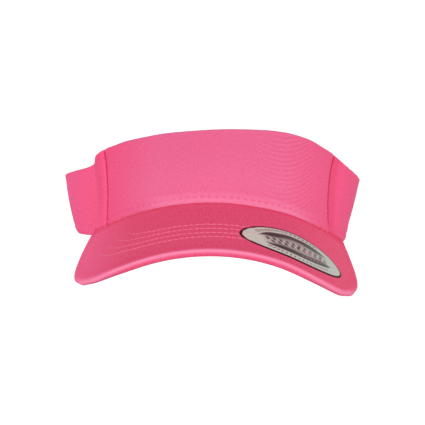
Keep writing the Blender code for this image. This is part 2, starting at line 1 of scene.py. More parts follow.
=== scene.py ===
# Sun visor in pink twill: band panels, brim, stitching, padded sweatband and a hook-and-loop
# closure, built as fine meshes in place of the CAD pieces, with procedural materials.
# The brim points to -Y and the closure is at +Y; +Z is up. The "left" arm is on +X.
# Shapes are worked out in millimetres and moved to metres by place().
import json
import math

import bpy
import numpy as np
from mathutils import Matrix, Vector


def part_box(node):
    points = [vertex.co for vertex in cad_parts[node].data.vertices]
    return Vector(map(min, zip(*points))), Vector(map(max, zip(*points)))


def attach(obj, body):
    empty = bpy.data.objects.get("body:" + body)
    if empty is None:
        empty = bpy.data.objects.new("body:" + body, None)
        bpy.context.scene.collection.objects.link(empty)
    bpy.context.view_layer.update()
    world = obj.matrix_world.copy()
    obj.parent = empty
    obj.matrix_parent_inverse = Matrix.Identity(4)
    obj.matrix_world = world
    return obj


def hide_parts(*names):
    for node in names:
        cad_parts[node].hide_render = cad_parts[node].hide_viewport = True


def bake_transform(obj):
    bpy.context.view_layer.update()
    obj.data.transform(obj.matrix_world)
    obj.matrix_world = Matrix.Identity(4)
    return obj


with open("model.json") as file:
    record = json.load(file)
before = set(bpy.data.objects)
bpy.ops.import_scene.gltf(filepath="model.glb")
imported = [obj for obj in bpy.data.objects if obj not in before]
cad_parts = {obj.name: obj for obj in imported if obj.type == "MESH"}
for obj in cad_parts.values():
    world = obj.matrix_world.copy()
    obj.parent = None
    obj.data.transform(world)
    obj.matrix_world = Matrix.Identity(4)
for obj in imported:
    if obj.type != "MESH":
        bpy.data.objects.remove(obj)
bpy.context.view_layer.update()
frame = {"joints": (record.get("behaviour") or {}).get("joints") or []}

MM = 0.001
TAU = 2 * math.pi
FINE = 1.0      # mesh density factor
SIDES = ((1, "left"), (-1, "right"))   # sign of x, and the arm's name

# ---------------------------------------------------------------- dimensions, mm
HINGE_Y = -45.0                        # also the centre of the round back
hinge = next(j for j in frame["joints"] if j["name"] == "size_adjust_left")["pos_m"]
SHIFT_Y = hinge[1] / MM - HINGE_Y
SHIFT_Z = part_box("side_panel_rear_left")[0].z / MM

# plan of the band: half an ellipse in front, a free curve, then an arc at the back
FRONT_Y = -101.0
WIDE_Y = 5.0
WIDE_X = 83.3
BACK_Y = 100.0
BACK_ARC_X = 42.0                      # where the back arc starts
SEAM_X = 65.9                          # side seams
ROOT_X = 73.4                          # where the band's lower edge leaves the brim
BRIM_ROOT_X = 71.2                     # ends of the brim's root
DEPTH = WIDE_Y - FRONT_Y
ARC_R = BACK_Y - HINGE_Y

# brim
BRIM_Z = 21.84                         # height at the middle of its root
BRIM_PITCH = 0.3516                    # slope, as rise over run
ARCH2 = 0.00584                        # square and fourth-power terms of its cross section
ARCH4 = 0.287e-6
BRIM_LENGTH = 74.8
BRIM_HALF = 80.7
BRIM_T = 4.0
TOP_H = BRIM_T / 2                     # upper face above the brim's middle surface
ROWS = (37.4, 31.3, 25.0, 18.9)        # topstitch rows, from the brim's edge
ROW_DEPTH = 0.30
BRIM_COS = 1 / math.sqrt(1 + BRIM_PITCH**2)

# band
TWILL_T = 0.7
HEM_T = 3.0                            # thickness of the turned top edge
HEM_DROP = 6.5                         # how far the turned edge goes down inside
SEAM_ROW = 5.1                         # sweatband stitches above the lower edge
HOLE_PITCH = 4.2
ROOT_DROP = 1.4                        # the panel's edge goes down into the brim seam

# sweatband, as depths behind the band's face
SWEAT_H = 31.0
D_SWEAT = 3.75
SWEAT_T = 0.55                         # thickness where it is sewn flat
SWEAT_PAD = 2.5                        # fullness of the padding

# closure; x is counted towards the strap's own arm
STRAP_TOP = 27.5
STRAP_BOTTOM = 1.5
STRAP_T = 1.3
STRAP_ROOT_X = 29.0
STRAP_TIP_X = -21.0
TIP_R = 9.0
HOOK_TAPE_X = (16.0, -18.5)            # arm end, tip end
LOOP_TAPE_X = (39.5, -18.5)
TAPE_ROW_Z = (5.5, 23.5)
DIVE = 4.2                             # the -X arm ends this far inside the other

# how the soft visor sits: its sides pushed to -X, the brim rolled a little
PUSH = 5.5
ROLL = 0.0144
TOP_TILT = 0.0225
WAVE = 0.5                             # height of a slow wave across the brim
WAVE_HALF = 84.0                       # and half its length
DROOP = 0.45                           # step down across the +X part of the brim
DROOP_X = 38.0
DROOP_SPAN = 18.0

# sticker, on the unrolled brim
STICKER_AT = (47.57, -37.36)
STICKER_A = 36.13                      # half length
STICKER_B = 17.63                      # half width
STICKER_TILT = math.radians(25.56)
STICKER_TAPER = 0.126
STICKER_BOW = 0.119


# ---------------------------------------------------------------- curves
def ease(x, start, span):
    """S-curve from 0 at start to 1 at start + span; span may be negative."""
    t = np.clip((x - start) / span, 0.0, 1.0)
    return t * t * (3 - 2 * t)


def bell(x, at, width, power=2):
    """Bump of height 1 at the given place; power 4 makes it flat-topped."""
    return np.exp(-((x - at) / width)**power)


def unit(v):
    return v / np.linalg.norm(v, axis=-1, keepdims=True)


def arc_length(points):
    """Distance along each line of points (the last axis but one)."""
    steps = np.linalg.norm(np.diff(points, axis=-2), axis=-1)
    return np.concatenate([np.zeros(steps.shape[:-1] + (1,)), np.cumsum(steps, -1)], -1)


def sample(points, dist, at):
    """Points of a line at given distances along it."""
    return np.stack([np.interp(at, dist, column) for column in points.T], -1)


def monotone(table):
    """Curve through (place, value) pairs that doesn't overshoot; level at both ends."""
    at, value = np.array(table, float).T
    gap = np.diff(at)
    rate = np.diff(value) / gap
    slope = np.zeros(len(at))
    for i in range(1, len(at) - 1):
        if rate[i - 1] * rate[i] > 0:
            before = 2 * gap[i] + gap[i - 1]
            after = gap[i] + 2 * gap[i - 1]
            slope[i] = (before + after) / (before / rate[i - 1] + after / rate[i])

    def curve(x):
        x = np.clip(np.asarray(x, float), at[0], at[-1])
        i = np.clip(np.searchsorted(at, x, side="right") - 1, 0, len(at) - 2)
        u = (x - at[i]) / gap[i]
        return ((2 * u**3 - 3 * u * u + 1) * value[i]
                + (u**3 - 2 * u * u + u) * gap[i] * slope[i]
                + (-2 * u**3 + 3 * u * u) * value[i + 1]
                + (u**3 - u * u) * gap[i] * slope[i + 1])
    return curve


def cubic(at, value, start_slope):
    """Cubic spline with a given slope at its start and no curvature at its end."""
    n = len(at)
    gap = np.diff(at)
    rate = np.diff(value) / gap
    rows = np.zeros((n, n))
    right = np.zeros(n)
    rows[0, :2] = 2 * gap[0], gap[0]
    right[0] = 6 * (rate[0] - start_slope)
    rows[-1, -1] = 1
    for i in range(1, n - 1):
        rows[i, i - 1:i + 2] = gap[i - 1], 2 * (gap[i - 1] + gap[i]), gap[i]
        right[i] = 6 * (rate[i] - rate[i - 1])
    bend = np.linalg.solve(rows, right)

    def curve(x):
        x = np.clip(x, at[0], at[-1])
        i = np.clip(np.searchsorted(at, x, side="right") - 1, 0, n - 2)
        ahead = at[i + 1] - x
        behind = x - at[i]
        g = gap[i]
        return (bend[i] * ahead**3 / (6 * g) + bend[i + 1] * behind**3 / (6 * g)
                + (value[i] / g - bend[i] * g / 6) * ahead
                + (value[i + 1] / g - bend[i + 1] * g / 6) * behind)
    return curve


# ---------------------------------------------------------------- plan of the band
# A place round the band is its distance s from the middle of the front, negative on -X.
FRONT_POINTS = 480


def half_plan():
    """Points of the +X half, from the middle of the front to the middle of the back."""
    turn = np.linspace(0, math.pi / 2, FRONT_POINTS)
    front = np.stack([WIDE_X * np.sin(turn), WIDE_Y - DEPTH * np.cos(turn)], -1)
    angle = math.asin(BACK_ARC_X / ARC_R)
    arc_start = np.array([BACK_ARC_X, HINGE_Y + ARC_R * math.cos(angle)])
    arc_way = np.array([-math.cos(angle), math.sin(angle)])
    widest = np.array([WIDE_X, WIDE_Y])
    pull1 = widest + np.array([0, 30.0])
    pull2 = arc_start - arc_way * 45.0
    u = np.linspace(0, 1, 400)[1:, None]
    flank = ((1 - u)**3 * widest + 3 * (1 - u)**2 * u * pull1
             + 3 * (1 - u) * u * u * pull2 + u**3 * arc_start)
    turn = np.linspace(angle, 0, 180)[1:]
    back = np.stack([ARC_R * np.sin(turn), HINGE_Y + ARC_R * np.cos(turn)], -1)
    return np.vstack([front, flank, back])


PLAN = half_plan()
PLAN_S = arc_length(PLAN)
S_BACK = float(PLAN_S[-1])
S_WIDE = float(PLAN_S[FRONT_POINTS - 1])


def s_of_front_x(x):
    return float(np.interp(x, PLAN[:FRONT_POINTS, 0], PLAN_S[:FRONT_POINTS]))


def back_arc(x):
    """Distance round the back arc from x = 0."""
    return ARC_R * np.arcsin(x / ARC_R)


S_SEAM = s_of_front_x(SEAM_X)
S_ROOT = s_of_front_x(ROOT_X)
S_BRIM_ROOT = s_of_front_x(BRIM_ROOT_X)
S_ARC = S_BACK - back_arc(BACK_ARC_X)
S_PANEL_END = S_BACK - back_arc(STRAP_ROOT_X)
S_SWEAT_END = S_ARC - 30.0

# outward lean per mm of height, by s
lean = monotone([(0, -0.043), (S_SEAM, 0.037), (S_ROOT, 0.124), (S_WIDE, 0.212), (S_ARC, 0.09),
                 (S_BACK, 0.09)])
# outward bow at half height, by s
crown = monotone([(0, 1.22), (S_SEAM, -1.5), (S_ROOT, -0.7), (S_WIDE, 0.1), (S_ARC, 0.0),
                  (S_BACK, 0.0)])
# height of the top edge, by s
top_line = monotone([(0, 64.41), (S_SEAM * 0.35, 63.36), (S_SEAM * 0.72, 58.66),
                     (S_SEAM, 51.05), (S_SEAM + 7, 47.6), (S_ROOT + 4, 41.2), (S_WIDE - 6, 36.3),
                     (S_ARC - 25, 31.2), (S_ARC - 4, STRAP_TOP), (S_BACK, STRAP_TOP)])
# small waves of the top edge, by signed s
top_wave = monotone([
    (-145, -0.5), (-136, -0.4), (-125, -0.1), (-112, 0.0), (-101, 0.0), (-95, -0.1), (-89, 1.45),
    (-S_SEAM, 1.4), (-72, 0.3), (-63, -0.3), (-53, -0.8), (-44, -1.05), (-36, -1.0), (-28, -0.85),
    (-18, -0.68), (-8, -0.45), (2, -0.2), (11, 0.0), (27, 0.3), (38, 0.5), (48, 0.75), (60, 0.4),
    (72, -0.35), (S_SEAM, -0.12), (92, -0.25), (98, 0.55), (104, 0.5), (112, -0.4), (120, -0.4),
    (136, 0.0), (145, 0.0)])
# how far each side panel sits inside (+) the even curve at its top, by distance behind its seam
dent_minus = monotone([(-14, 0), (0, -0.5), (3, -1.4), (6, -1.2), (9, 0.2), (12, 2.1), (14.5, 3.0),
                       (18, 2.6), (24, 2.2), (32, 1.7), (42, 1.5), (50, 1.2), (58, 0.7), (75, 0.5),
                       (95, 0.0)])
dent_plus = monotone([(-14, 0), (0, -0.1), (8, 0.3), (16, 0.4), (24, -0.2), (34, -1.0),
                      (46, -0.9), (62, -0.6), (80, -0.4), (110, 0.0)])
# outward swell at about half height, by distance behind the seam
belly_minus = monotone([(0, 0.0), (20, 0.0), (45, 0.9), (62, 1.3), (80, 0.9), (100, 0.0)])
belly_plus = monotone([(0, 0.0), (20, 0.2), (45, 0.5), (62, 0.6), (80, 0.4), (100, 0.0)])


def plan_xy(s):
    """Plan point at a distance s >= 0; the back arc runs on past the middle."""
    s = np.asarray(s, float)
    turn = (S_BACK - s) / ARC_R
    on_arc = s > S_ARC
    return (np.where(on_arc, ARC_R * np.sin(turn), np.interp(s, PLAN_S, PLAN[:, 0])),
            np.where(on_arc, HINGE_Y + ARC_R * np.cos(turn), np.interp(s, PLAN_S, PLAN[:, 1])))


def plan_normal(s, reach=1.5):
    """Outward normal, taken over a few millimetres so that it varies smoothly."""
    x0, y0 = plan_xy(np.maximum(s - reach, 0.0))
    x1, y1 = plan_xy(s + reach)
    length = np.hypot(x1 - x0, y1 - y0)
    return (y1 - y0) / length * np.clip(s / reach, 0, 1), -(x1 - x0) / length


def side_of(s):
    return np.where(np.asarray(s) < 0, -1.0, 1.0)


# ---------------------------------------------------------------- surfaces of brim and band
def arch(x):
    """The brim's section across, with a slow wave of the soft board."""
    return (-ARCH2 * x * x - ARCH4 * x**4 - ROLL * x + WAVE * np.sin(np.pi * x / WAVE_HALF)
            - DROOP * ease(x, DROOP_X, DROOP_SPAN))


def arch_slope(x):
    q = np.clip((x - DROOP_X) / DROOP_SPAN, 0, 1)
    return (-2 * ARCH2 * x - 4 * ARCH4 * x**3 - ROLL
            + WAVE * np.pi / WAVE_HALF * np.cos(np.pi * x / WAVE_HALF)
            - DROOP * 6 * q * (1 - q) / DROOP_SPAN)


def brim_z(x, y):
    dip = 0.5 * bell(x, 25.0, 17.0) * ease(y, FRONT_Y - 40.0, 40.0)
    return BRIM_Z + BRIM_PITCH * (y - FRONT_Y) + arch(x) - dip


def brim_normal(x, y):
    return unit(np.stack([-arch_slope(x), -BRIM_PITCH + 0 * x, 1 + 0 * x], -1))


def shove(points, y):
    """The slight sideways set of the whole band."""
    points[..., 0] -= PUSH * ease(y, -60.0, 60.0) * ease(y, 95.0, -60.0)
    return points


def brim_point(x, y, height):
    """Point over (x, y), raised from the brim's middle surface."""
    points = np.stack([x, y, brim_z(x, y)], -1)
    points = points + brim_normal(x, y) * np.asarray(height, float)[..., None]
    return shove(points, points[..., 1])


def sag(s):
    """The hem of the side panels hangs a little low, more so on +X."""
    away = np.abs(s)
    return (np.where(np.asarray(s) > 0, 2.2, 0.3) * ease(away, S_ROOT - 4, 16.0)
            * ease(away, S_WIDE + 62, -55.0))


def z_bottom(s):
    """The band's lower edge: along the brim, then level, then up to the straps."""
    away = np.abs(s)
    x, y = plan_xy(away)
    free = ease(away, S_ROOT - 3, 14.0)
    lift = STRAP_BOTTOM * ease(away, S_ARC - 22.0, 20.0)
    return (brim_z(side_of(s) * x, y) - ROOT_DROP) * (1 - free) + lift - sag(s)


def z_top(s):
    away = np.abs(s)
    x, _ = plan_xy(away)
    return (top_line(away) + TOP_TILT * side_of(s) * x * ease(away, S_WIDE, -S_WIDE)
            + top_wave(s))


def face_height(s):
    return z_top(s) - z_bottom(s)


def dent(s, share):
    """The -X panel stands out behind its seam, then buckles in before it flares."""
    behind = np.abs(s) - S_SEAM
    belly = 4 * share * (1 - share) * (1 - 0.3 * share)
    return np.where(s < 0,
                    dent_minus(behind) * share**0.45 - belly_minus(behind) * belly,
                    dent_plus(behind) * share**0.8 - belly_plus(behind) * belly)


def ripple(s, v):
    """Soft unevenness of the cloth."""
    away = np.abs(s)
    rear = ease(away, S_ROOT, 40.0) * ease(away, S_ARC + 10, -30.0)
    return (0.10 * np.sin(s * 0.11 + 3.1 * v + 0.7) * np.sin(s * 0.047 + 1.3)
            + 0.07 * np.sin(s * 0.23 - 4.0 * v) * np.sin(2.2 * v + s * 0.031)
            + rear * (0.35 * np.sin(away * 0.075 + 0.4 + 1.2 * v)
                      + 0.22 * np.sin(away * 0.17 + 2.0 * v)))


def band(s, height, depth, up=0.0):
    """Point on the band: signed place s, height above the lower edge, depth inwards
    from the face, and a further rise along the face."""
    share = height / face_height(s)
    v = np.clip(share, 0, 1)
    # the side seams are not quite upright
    bend = np.where(s < 0, 0.2 * v**5 - 0.5 * (1 - v**3),
                    2.6 * v**5 + 0.75 * (1 - v)**4 - 0.30 * bell(v, 0.5, 0.2))
    s = s + side_of(s) * bend * bell(np.abs(s), S_SEAM, 13.0)
    away = np.abs(s)
    x, y = plan_xy(away)
    nx, ny = plan_normal(away)
    rise = face_height(s) * share + up
    reach = np.minimum(away, S_BACK)
    dive = DIVE * (s < 0) * ease(away, S_ARC - 26.0, 22.0)
    off = (lean(reach) * (rise - sag(s)) + crown(reach) * 4 * v * (1 - v) - depth
           - dent(s, v) + ripple(s, share) - dive)
    points = np.stack([side_of(s) * (x + nx * off), y + ny * off, z_bottom(s) + rise], -1)
    return shove(points, y)


# ---------------------------------------------------------------- mesh building
def place(points):
    """From millimetres in the visor's own frame to metres in the CAD frame."""
    return (np.asarray(points, float) + np.array([0.0, SHIFT_Y, SHIFT_Z])) * MM


def patch(index):
    """Quads between neighbours in a grid of vertex numbers."""
    return np.stack([index[..., :-1, :-1], index[..., 1:, :-1],
                     index[..., 1:, 1:], index[..., :-1, 1:]], -1).reshape(-1, 4)


def volume(points, quads):
    a, b, c, d = (points[quads[:, k]] for k in range(4))
    return (np.einsum("ij,ij->i", a, np.cross(b, c))
            + np.einsum("ij,ij->i", a, np.cross(c, d))).sum() / 6


def make_mesh(name, points, quads, uv, mat, tone=None):
    """Object from millimetre points, quads and per-vertex UVs and tones."""
    points = points.reshape(-1, 3)
    if volume(points, quads) < 0:
        quads = quads[:, ::-1]
    quads = quads.astype(np.int32)
    mesh = bpy.data.meshes.new(name)
    mesh.vertices.add(len(points))
    mesh.vertices.foreach_set("co", place(points).astype(np.float32).ravel())
    mesh.loops.add(quads.size)
    mesh.loops.foreach_set("vertex_index", quads.ravel())
    mesh.polygons.add(len(quads))
    mesh.polygons.foreach_set("loop_start", np.arange(0, quads.size, 4, dtype=np.int32))
    mesh.update(calc_edges=True)
    layer = mesh.uv_layers.new(name="UVMap")
    corner_uv = uv.reshape(-1, 2)[quads.ravel()]
    layer.data.foreach_set("uv", corner_uv.astype(np.float32).ravel())
    if tone is not None:
        attribute = mesh.attributes.new("tone", "FLOAT", "POINT")
        attribute.data.foreach_set("value", np.asarray(tone, np.float32).ravel())
    mesh.materials.append(mat)
    mesh.shade_smooth()
    ob = bpy.data.objects.new(name, mesh)
    bpy.context.scene.collection.objects.link(ob)
    return ob


def grid_uv(u, v):
    """UVs from one u for each line of a grid, and a v for each point."""
    return np.stack(np.broadcast_arrays(u[:, None], v), -1)


def shell(name, outer, inner, mat, uv=None, tone=None):
    """Closed thin solid between two matching grids; UVs in mm unless given."""
    n, k = outer.shape[:2]
    index = np.arange(n * 2 * k).reshape(n, 2 * k)
    first, last = (patch(np.stack([line[:k], line[:k - 1:-1]], 1))
                   for line in (index[0], index[-1]))
    quads = np.vstack([patch(np.c_[index, index[:, :1]]), first, last[:, ::-1]])
    if uv is None:
        uv = grid_uv(arc_length(outer[:, k // 2]), arc_length(outer))
    inner_shift = np.array([3.3, 1.7])     # so that the two faces' weaves don't line up
    uv = np.concatenate([uv, uv[:, ::-1] + inner_shift], axis=1)
    if tone is not None:
        tone = np.concatenate([tone, 0 * tone], axis=1)
    return make_mesh(name, np.concatenate([outer, inner[:, ::-1]], axis=1), quads, uv, mat, tone)


def stitches(name, path, normal, mat, pitch, length, radius, rise, sink, seed, start=0.0,
             tone=None):
    """A row of separate stitches: short lengths of twisted thread that come up
    out of the cloth and go down again."""
    rings = 9
    sides = 8
    wander = 0.05
    rng = np.random.RandomState(seed)
    dist = arc_length(path)
    count = max(1, int((dist[-1] - start) / pitch))
    t = np.linspace(0, 1, rings)
    centre = start + (np.arange(count) + 0.5) * (dist[-1] - start) / count
    along = centre[:, None] + (t - 0.5) * length
    at = np.clip(along, 0, dist[-1])
    up = unit(sample(normal, dist, at))
    tangent = unit(sample(path, dist, at + 0.4) - sample(path, dist, at - 0.4))
    side = np.cross(tangent, up)
    hump = np.sin(np.pi * t)
    height = -sink + (sink + rise) * hump**0.45
    jitter = (rng.uniform(-wander, wander, (count, 1))
              + rng.uniform(-wander, wander, (count, 1)) * (t - 0.5))
    line = sample(path, dist, at) + up * height[None, :, None] + side * jitter[..., None]
    thick = radius * (0.72 + 0.28 * hump**0.5)[:, None]
    angle = np.linspace(0, TAU, sides, endpoint=False)
    points = (line[:, :, None] + up[:, :, None] * (thick * np.cos(angle))[..., None]
              + side[:, :, None] * (thick * np.sin(angle) * 1.12)[..., None])
    index = np.arange(count * rings * sides).reshape(count, rings, sides)
    quads = [patch(np.concatenate([index, index[..., :1]], -1))]
    # both ends are closed by a fan of quads
    for k in range(1, sides - 2, 2):
        quads.append(index[:, 0, [0, k, k + 1, k + 2]])
        quads.append(index[:, -1, [0, k + 2, k + 1, k]])
    uv = np.stack(np.broadcast_arrays(along[:, :, None], angle / TAU), -1)
    if tone is not None:
        tone = np.broadcast_to(np.interp(at, dist, tone)[:, :, None], index.shape)
    return make_mesh(name, points, np.vstack(quads), uv, mat, tone)


def fit(ob, slot, *replaced, body="front", flex=0):
    """Hands a piece over: the CAD pieces it stands for, and the body it rides; given a side (+1 or
    -1) in flex, it rides no body and its placement is baked into its mesh. slot is not used."""
    if flex:
        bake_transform(ob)
    else:
        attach(ob, body)
    if replaced:
        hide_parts(*replaced)


# ---------------------------------------------------------------- material tools
class Nodes:
    """Short ways to build a Principled material; results are sockets."""

    def __init__(self, name):
        self.mat = bpy.data.materials.new(name)
        self.mat.use_nodes = True
        self.tree = self.mat.node_tree
        self.inputs = self.tree.nodes["Principled BSDF"].inputs

    def new(self, kind, **settings):
        node = self.tree.nodes.new(kind)
        for key, value in settings.items():
            setattr(node, key, value)
        return node

    def put(self, socket, value):
        if isinstance(value, bpy.types.NodeSocket):
            self.tree.links.new(value, socket)
        else:
            socket.default_value = value

    def calc(self, operation, *values, clamp=False):
        node = self.new("ShaderNodeMath", operation=operation, use_clamp=clamp)
        for socket, value in zip(node.inputs, values):
            self.put(socket, value)
        return node.outputs[0]

    def add(self, a, b):
        return self.calc("ADD", a, b)

    def mul(self, a, b):
        return self.calc("MULTIPLY", a, b)

    def scaled(self, value, gain, offset):
        return self.calc("MULTIPLY_ADD", value, gain, offset)

    def wave(self, value, period):
        return self.calc("SINE", self.mul(value, TAU / period))

    def unsigned(self, value):
        """From -1..1 to 0..1."""
        return self.scaled(value, 0.5, 0.5)

    def radius(self, a, b):
        return self.calc("SQRT", self.add(self.mul(a, a), self.mul(b, b)))

    def mix(self, factor, a, b):
        node = self.new("ShaderNodeMix", data_type="RGBA")
        self.put(node.inputs["Factor"], factor)
        self.put(node.inputs["A"], (*a, 1.0) if isinstance(a, tuple) else a)
        self.put(node.inputs["B"], (*b, 1.0) if isinstance(b, tuple) else b)
        return node.outputs["Result"]

    def ramp(self, value, start, end, kind="SMOOTHSTEP"):
        """0 at start, 1 at end."""
        node = self.new("ShaderNodeMapRange", interpolation_type=kind)
        self.put(node.inputs["Value"], value)
        node.inputs["From Min"].default_value = start
        node.inputs["From Max"].default_value = end
        return node.outputs["Result"]

    def noise(self, vector, scale, detail, rough):
        node = self.new("ShaderNodeTexNoise")
        self.put(node.inputs["Vector"], vector)
        node.inputs["Scale"].default_value = scale
        node.inputs["Detail"].default_value = detail
        node.inputs["Roughness"].default_value = rough
        return node.outputs["Fac"]

    def uv(self):
        """The UV vector and its two parts."""
        uv = self.new("ShaderNodeUVMap", uv_map="UVMap").outputs[0]
        split = self.new("ShaderNodeSeparateXYZ")
        self.put(split.inputs[0], uv)
        return uv, split.outputs[0], split.outputs[1]

    def plain_uv(self):
        return self.new("ShaderNodeUVMap", uv_map="UVMap").outputs[0]

    def object_place(self):
        return self.new("ShaderNodeTexCoord").outputs["Object"]

    def tone(self):
        return self.new("ShaderNodeAttribute", attribute_name="tone").outputs["Fac"]

    def surface(self, colour, rough, specular, height, bump, strength=1.0, sheen=0.0):
        """Feeds the shader; height is a pattern raised by bump mm. Gives the material."""
        node = self.new("ShaderNodeBump")
        node.inputs["Strength"].default_value = strength
        node.inputs["Distance"].default_value = bump * MM
        self.put(node.inputs["Height"], height)
        self.put(self.inputs["Normal"], node.outputs[0])
        self.put(self.inputs["Base Color"], colour)
        self.put(self.inputs["Roughness"], rough)
        self.put(self.inputs["Specular IOR Level"], specular)
        self.put(self.inputs["Sheen Weight"], sheen)
        return self.mat


def srgb(*levels):
    """Linear colour from 0..255 levels."""
    shares = [level / 255.0 for level in levels]
    return tuple(c / 12.92 if c <= 0.04045 else ((c + 0.055) / 1.055)**2.4 for c in shares)


def shades(colour, low, high, lift=0.0):
    """A darker and a paler form of a colour."""
    c = np.array(colour)
    return tuple(c * low), tuple(np.minimum(c * high + lift, 1.0))


# ---------------------------------------------------------------- kinds of material
MOTTLE = 0.035                         # strength of the cloth's uneven brightness


def twill_weave(m, u, v, wobble, rib, angle):
    """Diagonal ribs crossed by the filling yarns."""
    tilt = math.radians(angle)
    across = m.add(m.mul(u, math.cos(tilt)), m.mul(v, math.sin(tilt)))
    ribs = m.unsigned(m.wave(m.add(across, wobble), rib))
    filling = m.calc("SUBTRACT", m.mul(u, 0.35), m.mul(v, 0.94))
    yarn = m.unsigned(m.wave(filling, rib * 0.62))
    return m.add(m.mul(ribs, 0.72), m.mul(yarn, 0.28))


def bowed_bars(m, u, v, slub, centre=42.0, curve=0.0145, spacing=2.70, strength=0.050):
    """Bowed weft: faint bars sweeping across the +X part of the front panel."""
    off = m.calc("SUBTRACT", u, centre)
    bow = m.mul(m.mul(off, off), curve)
    phase = m.mul(m.calc("SUBTRACT", v, bow), TAU / spacing)
    phase = m.add(phase, m.mul(slub, 0.5))
    window = m.mul(m.ramp(u, 10.0, 44.0), m.ramp(u, 73.0, 58.0))
    return m.mul(m.calc("SINE", phase), m.mul(window, strength))


def toned(m, colour, light, shade):
    """Painted light and shade: where the tone attribute is positive the cloth is mixed towards a
    light colour (painted highlight), where it is negative towards a shade colour (painted shade in
    seams, holes and creases).
    """
    tone = m.tone()
    colour = m.mix(m.calc("MAXIMUM", tone, 0.0, clamp=True), colour, light)
    dark = m.calc("MULTIPLY", m.calc("MINIMUM", tone, 0.0), -1.0, clamp=True)
    return m.mix(dark, colour, shade)


def cloth(name, colour, rib=0.62, angle=58.0, plain=False, contrast=0.10, bump=0.055,
          sheen=0.06, rough=0.88, light=None, shade=None, streak=(0.9, 0.9), bars=False,
          ends=()):
    """Woven cotton with slubs and a little fuzz; UVs are mm on the cloth.

    rib is the weave's pitch in mm, streak the scale of its uneven yarns along u and v.
    ends holds (colour, from, to, side): painted light and shade, the colour shifts between two
    places on one side to follow how the light falls across the piece."""
    m = Nodes(name)
    uv, u, v = m.uv()
    slub = m.noise(uv, scale=0.55, detail=3.0, rough=0.6)
    wobble = m.mul(m.calc("SUBTRACT", slub, 0.5), 0.55)
    if plain:
        weave = m.unsigned(m.mul(m.wave(m.add(u, wobble), rib), m.wave(m.add(v, wobble), rib)))
    else:
        weave = twill_weave(m, u, v, wobble, rib, angle)
    fibre = m.noise(uv, scale=5.5, detail=2.0, rough=0.7)
    stretch = m.new("ShaderNodeMapping")
    m.put(stretch.inputs["Vector"], uv)
    stretch.inputs["Scale"].default_value = (*streak, 1.0)
    yarns = m.noise(stretch.outputs[0], scale=0.95, detail=2.5, rough=0.65)
    cloud = m.noise(m.object_place(), scale=30.0, detail=2.0, rough=0.5)

    dark, pale = 1 - contrast, 1 + contrast * 0.8
    out = m.mix(weave, *shades(colour, dark, pale, lift=0.005))
    # painted light and shade: the colour shifts towards each end colour along one side
    for end_colour, start, end, side in ends:
        share = m.ramp(m.mul(u, float(side)), start, end, kind="LINEAR")
        out = m.mix(share, out, m.mix(weave, *shades(end_colour, dark, pale)))

    value = m.add(m.scaled(cloud, MOTTLE, 1 - MOTTLE * 0.5),
                  m.scaled(yarns, MOTTLE * 4.6, -MOTTLE * 2.3))
    if bars:
        value = m.add(value, bowed_bars(m, u, v, slub))
    hsv = m.new("ShaderNodeHueSaturation")
    m.put(hsv.inputs["Color"], out)
    m.put(hsv.inputs["Value"], value)
    m.put(hsv.inputs["Saturation"], m.scaled(yarns, -0.16, 1.08))
    out = hsv.outputs[0]
    if light is not None:
        out = toned(m, out, light, shade)

    m.inputs["Sheen Roughness"].default_value = 0.45
    m.inputs["Sheen Tint"].default_value = (*np.minimum(np.array(colour) * 0.6 + 0.4, 1.0), 1.0)
    return m.surface(out, rough=m.scaled(fibre, 0.12, rough - 0.06), specular=0.15,
                     height=m.add(m.mul(weave, 0.7), m.mul(fibre, 0.5)), bump=bump,
                     strength=0.9, sheen=sheen)


def thread(name, colour, faded=None):
    """Two-ply sewing thread: a helix of ridges along each stitch."""
    m = Nodes(name)
    _, u, v = m.uv()
    twist = 0.85                       # mm along the thread
    ply = m.unsigned(m.calc("SINE", m.add(m.mul(u, TAU / twist), m.mul(v, 2 * TAU))))
    out = m.mix(ply, *shades(colour, 0.78, 1.12))
    if faded is not None:
        out = m.mix(m.tone(), out, faded)
    return m.surface(out, rough=0.5, specular=0.4, height=ply, bump=0.06, strength=0.8,
                     sheen=0.2)


def pile(name, colour):
    """Fuzzy loops."""
    m = Nodes(name)
    uv = m.plain_uv()
    fine = m.noise(uv, scale=4.0, detail=4.0, rough=0.7)
    coarse = m.noise(uv, scale=1.0, detail=2.0, rough=0.5)
    out = m.mix(m.add(m.mul(fine, 0.7), m.mul(coarse, 0.3)), *shades(colour, 0.62, 1.35))
    return m.surface(out, rough=0.92, specular=0.2, height=fine, bump=0.25, sheen=0.5)


def sheet(name, colour, rough, bump, scale, specular=0.4):
    """Smooth stuff with a slight unevenness."""
    m = Nodes(name)
    grain = m.noise(m.plain_uv(), scale=scale, detail=3.0, rough=0.6)
    return m.surface(m.mix(grain, *shades(colour, 0.93, 1.05)),
                     rough=m.scaled(grain, 0.15, rough - 0.07), specular=specular,
                     height=grain, bump=bump)


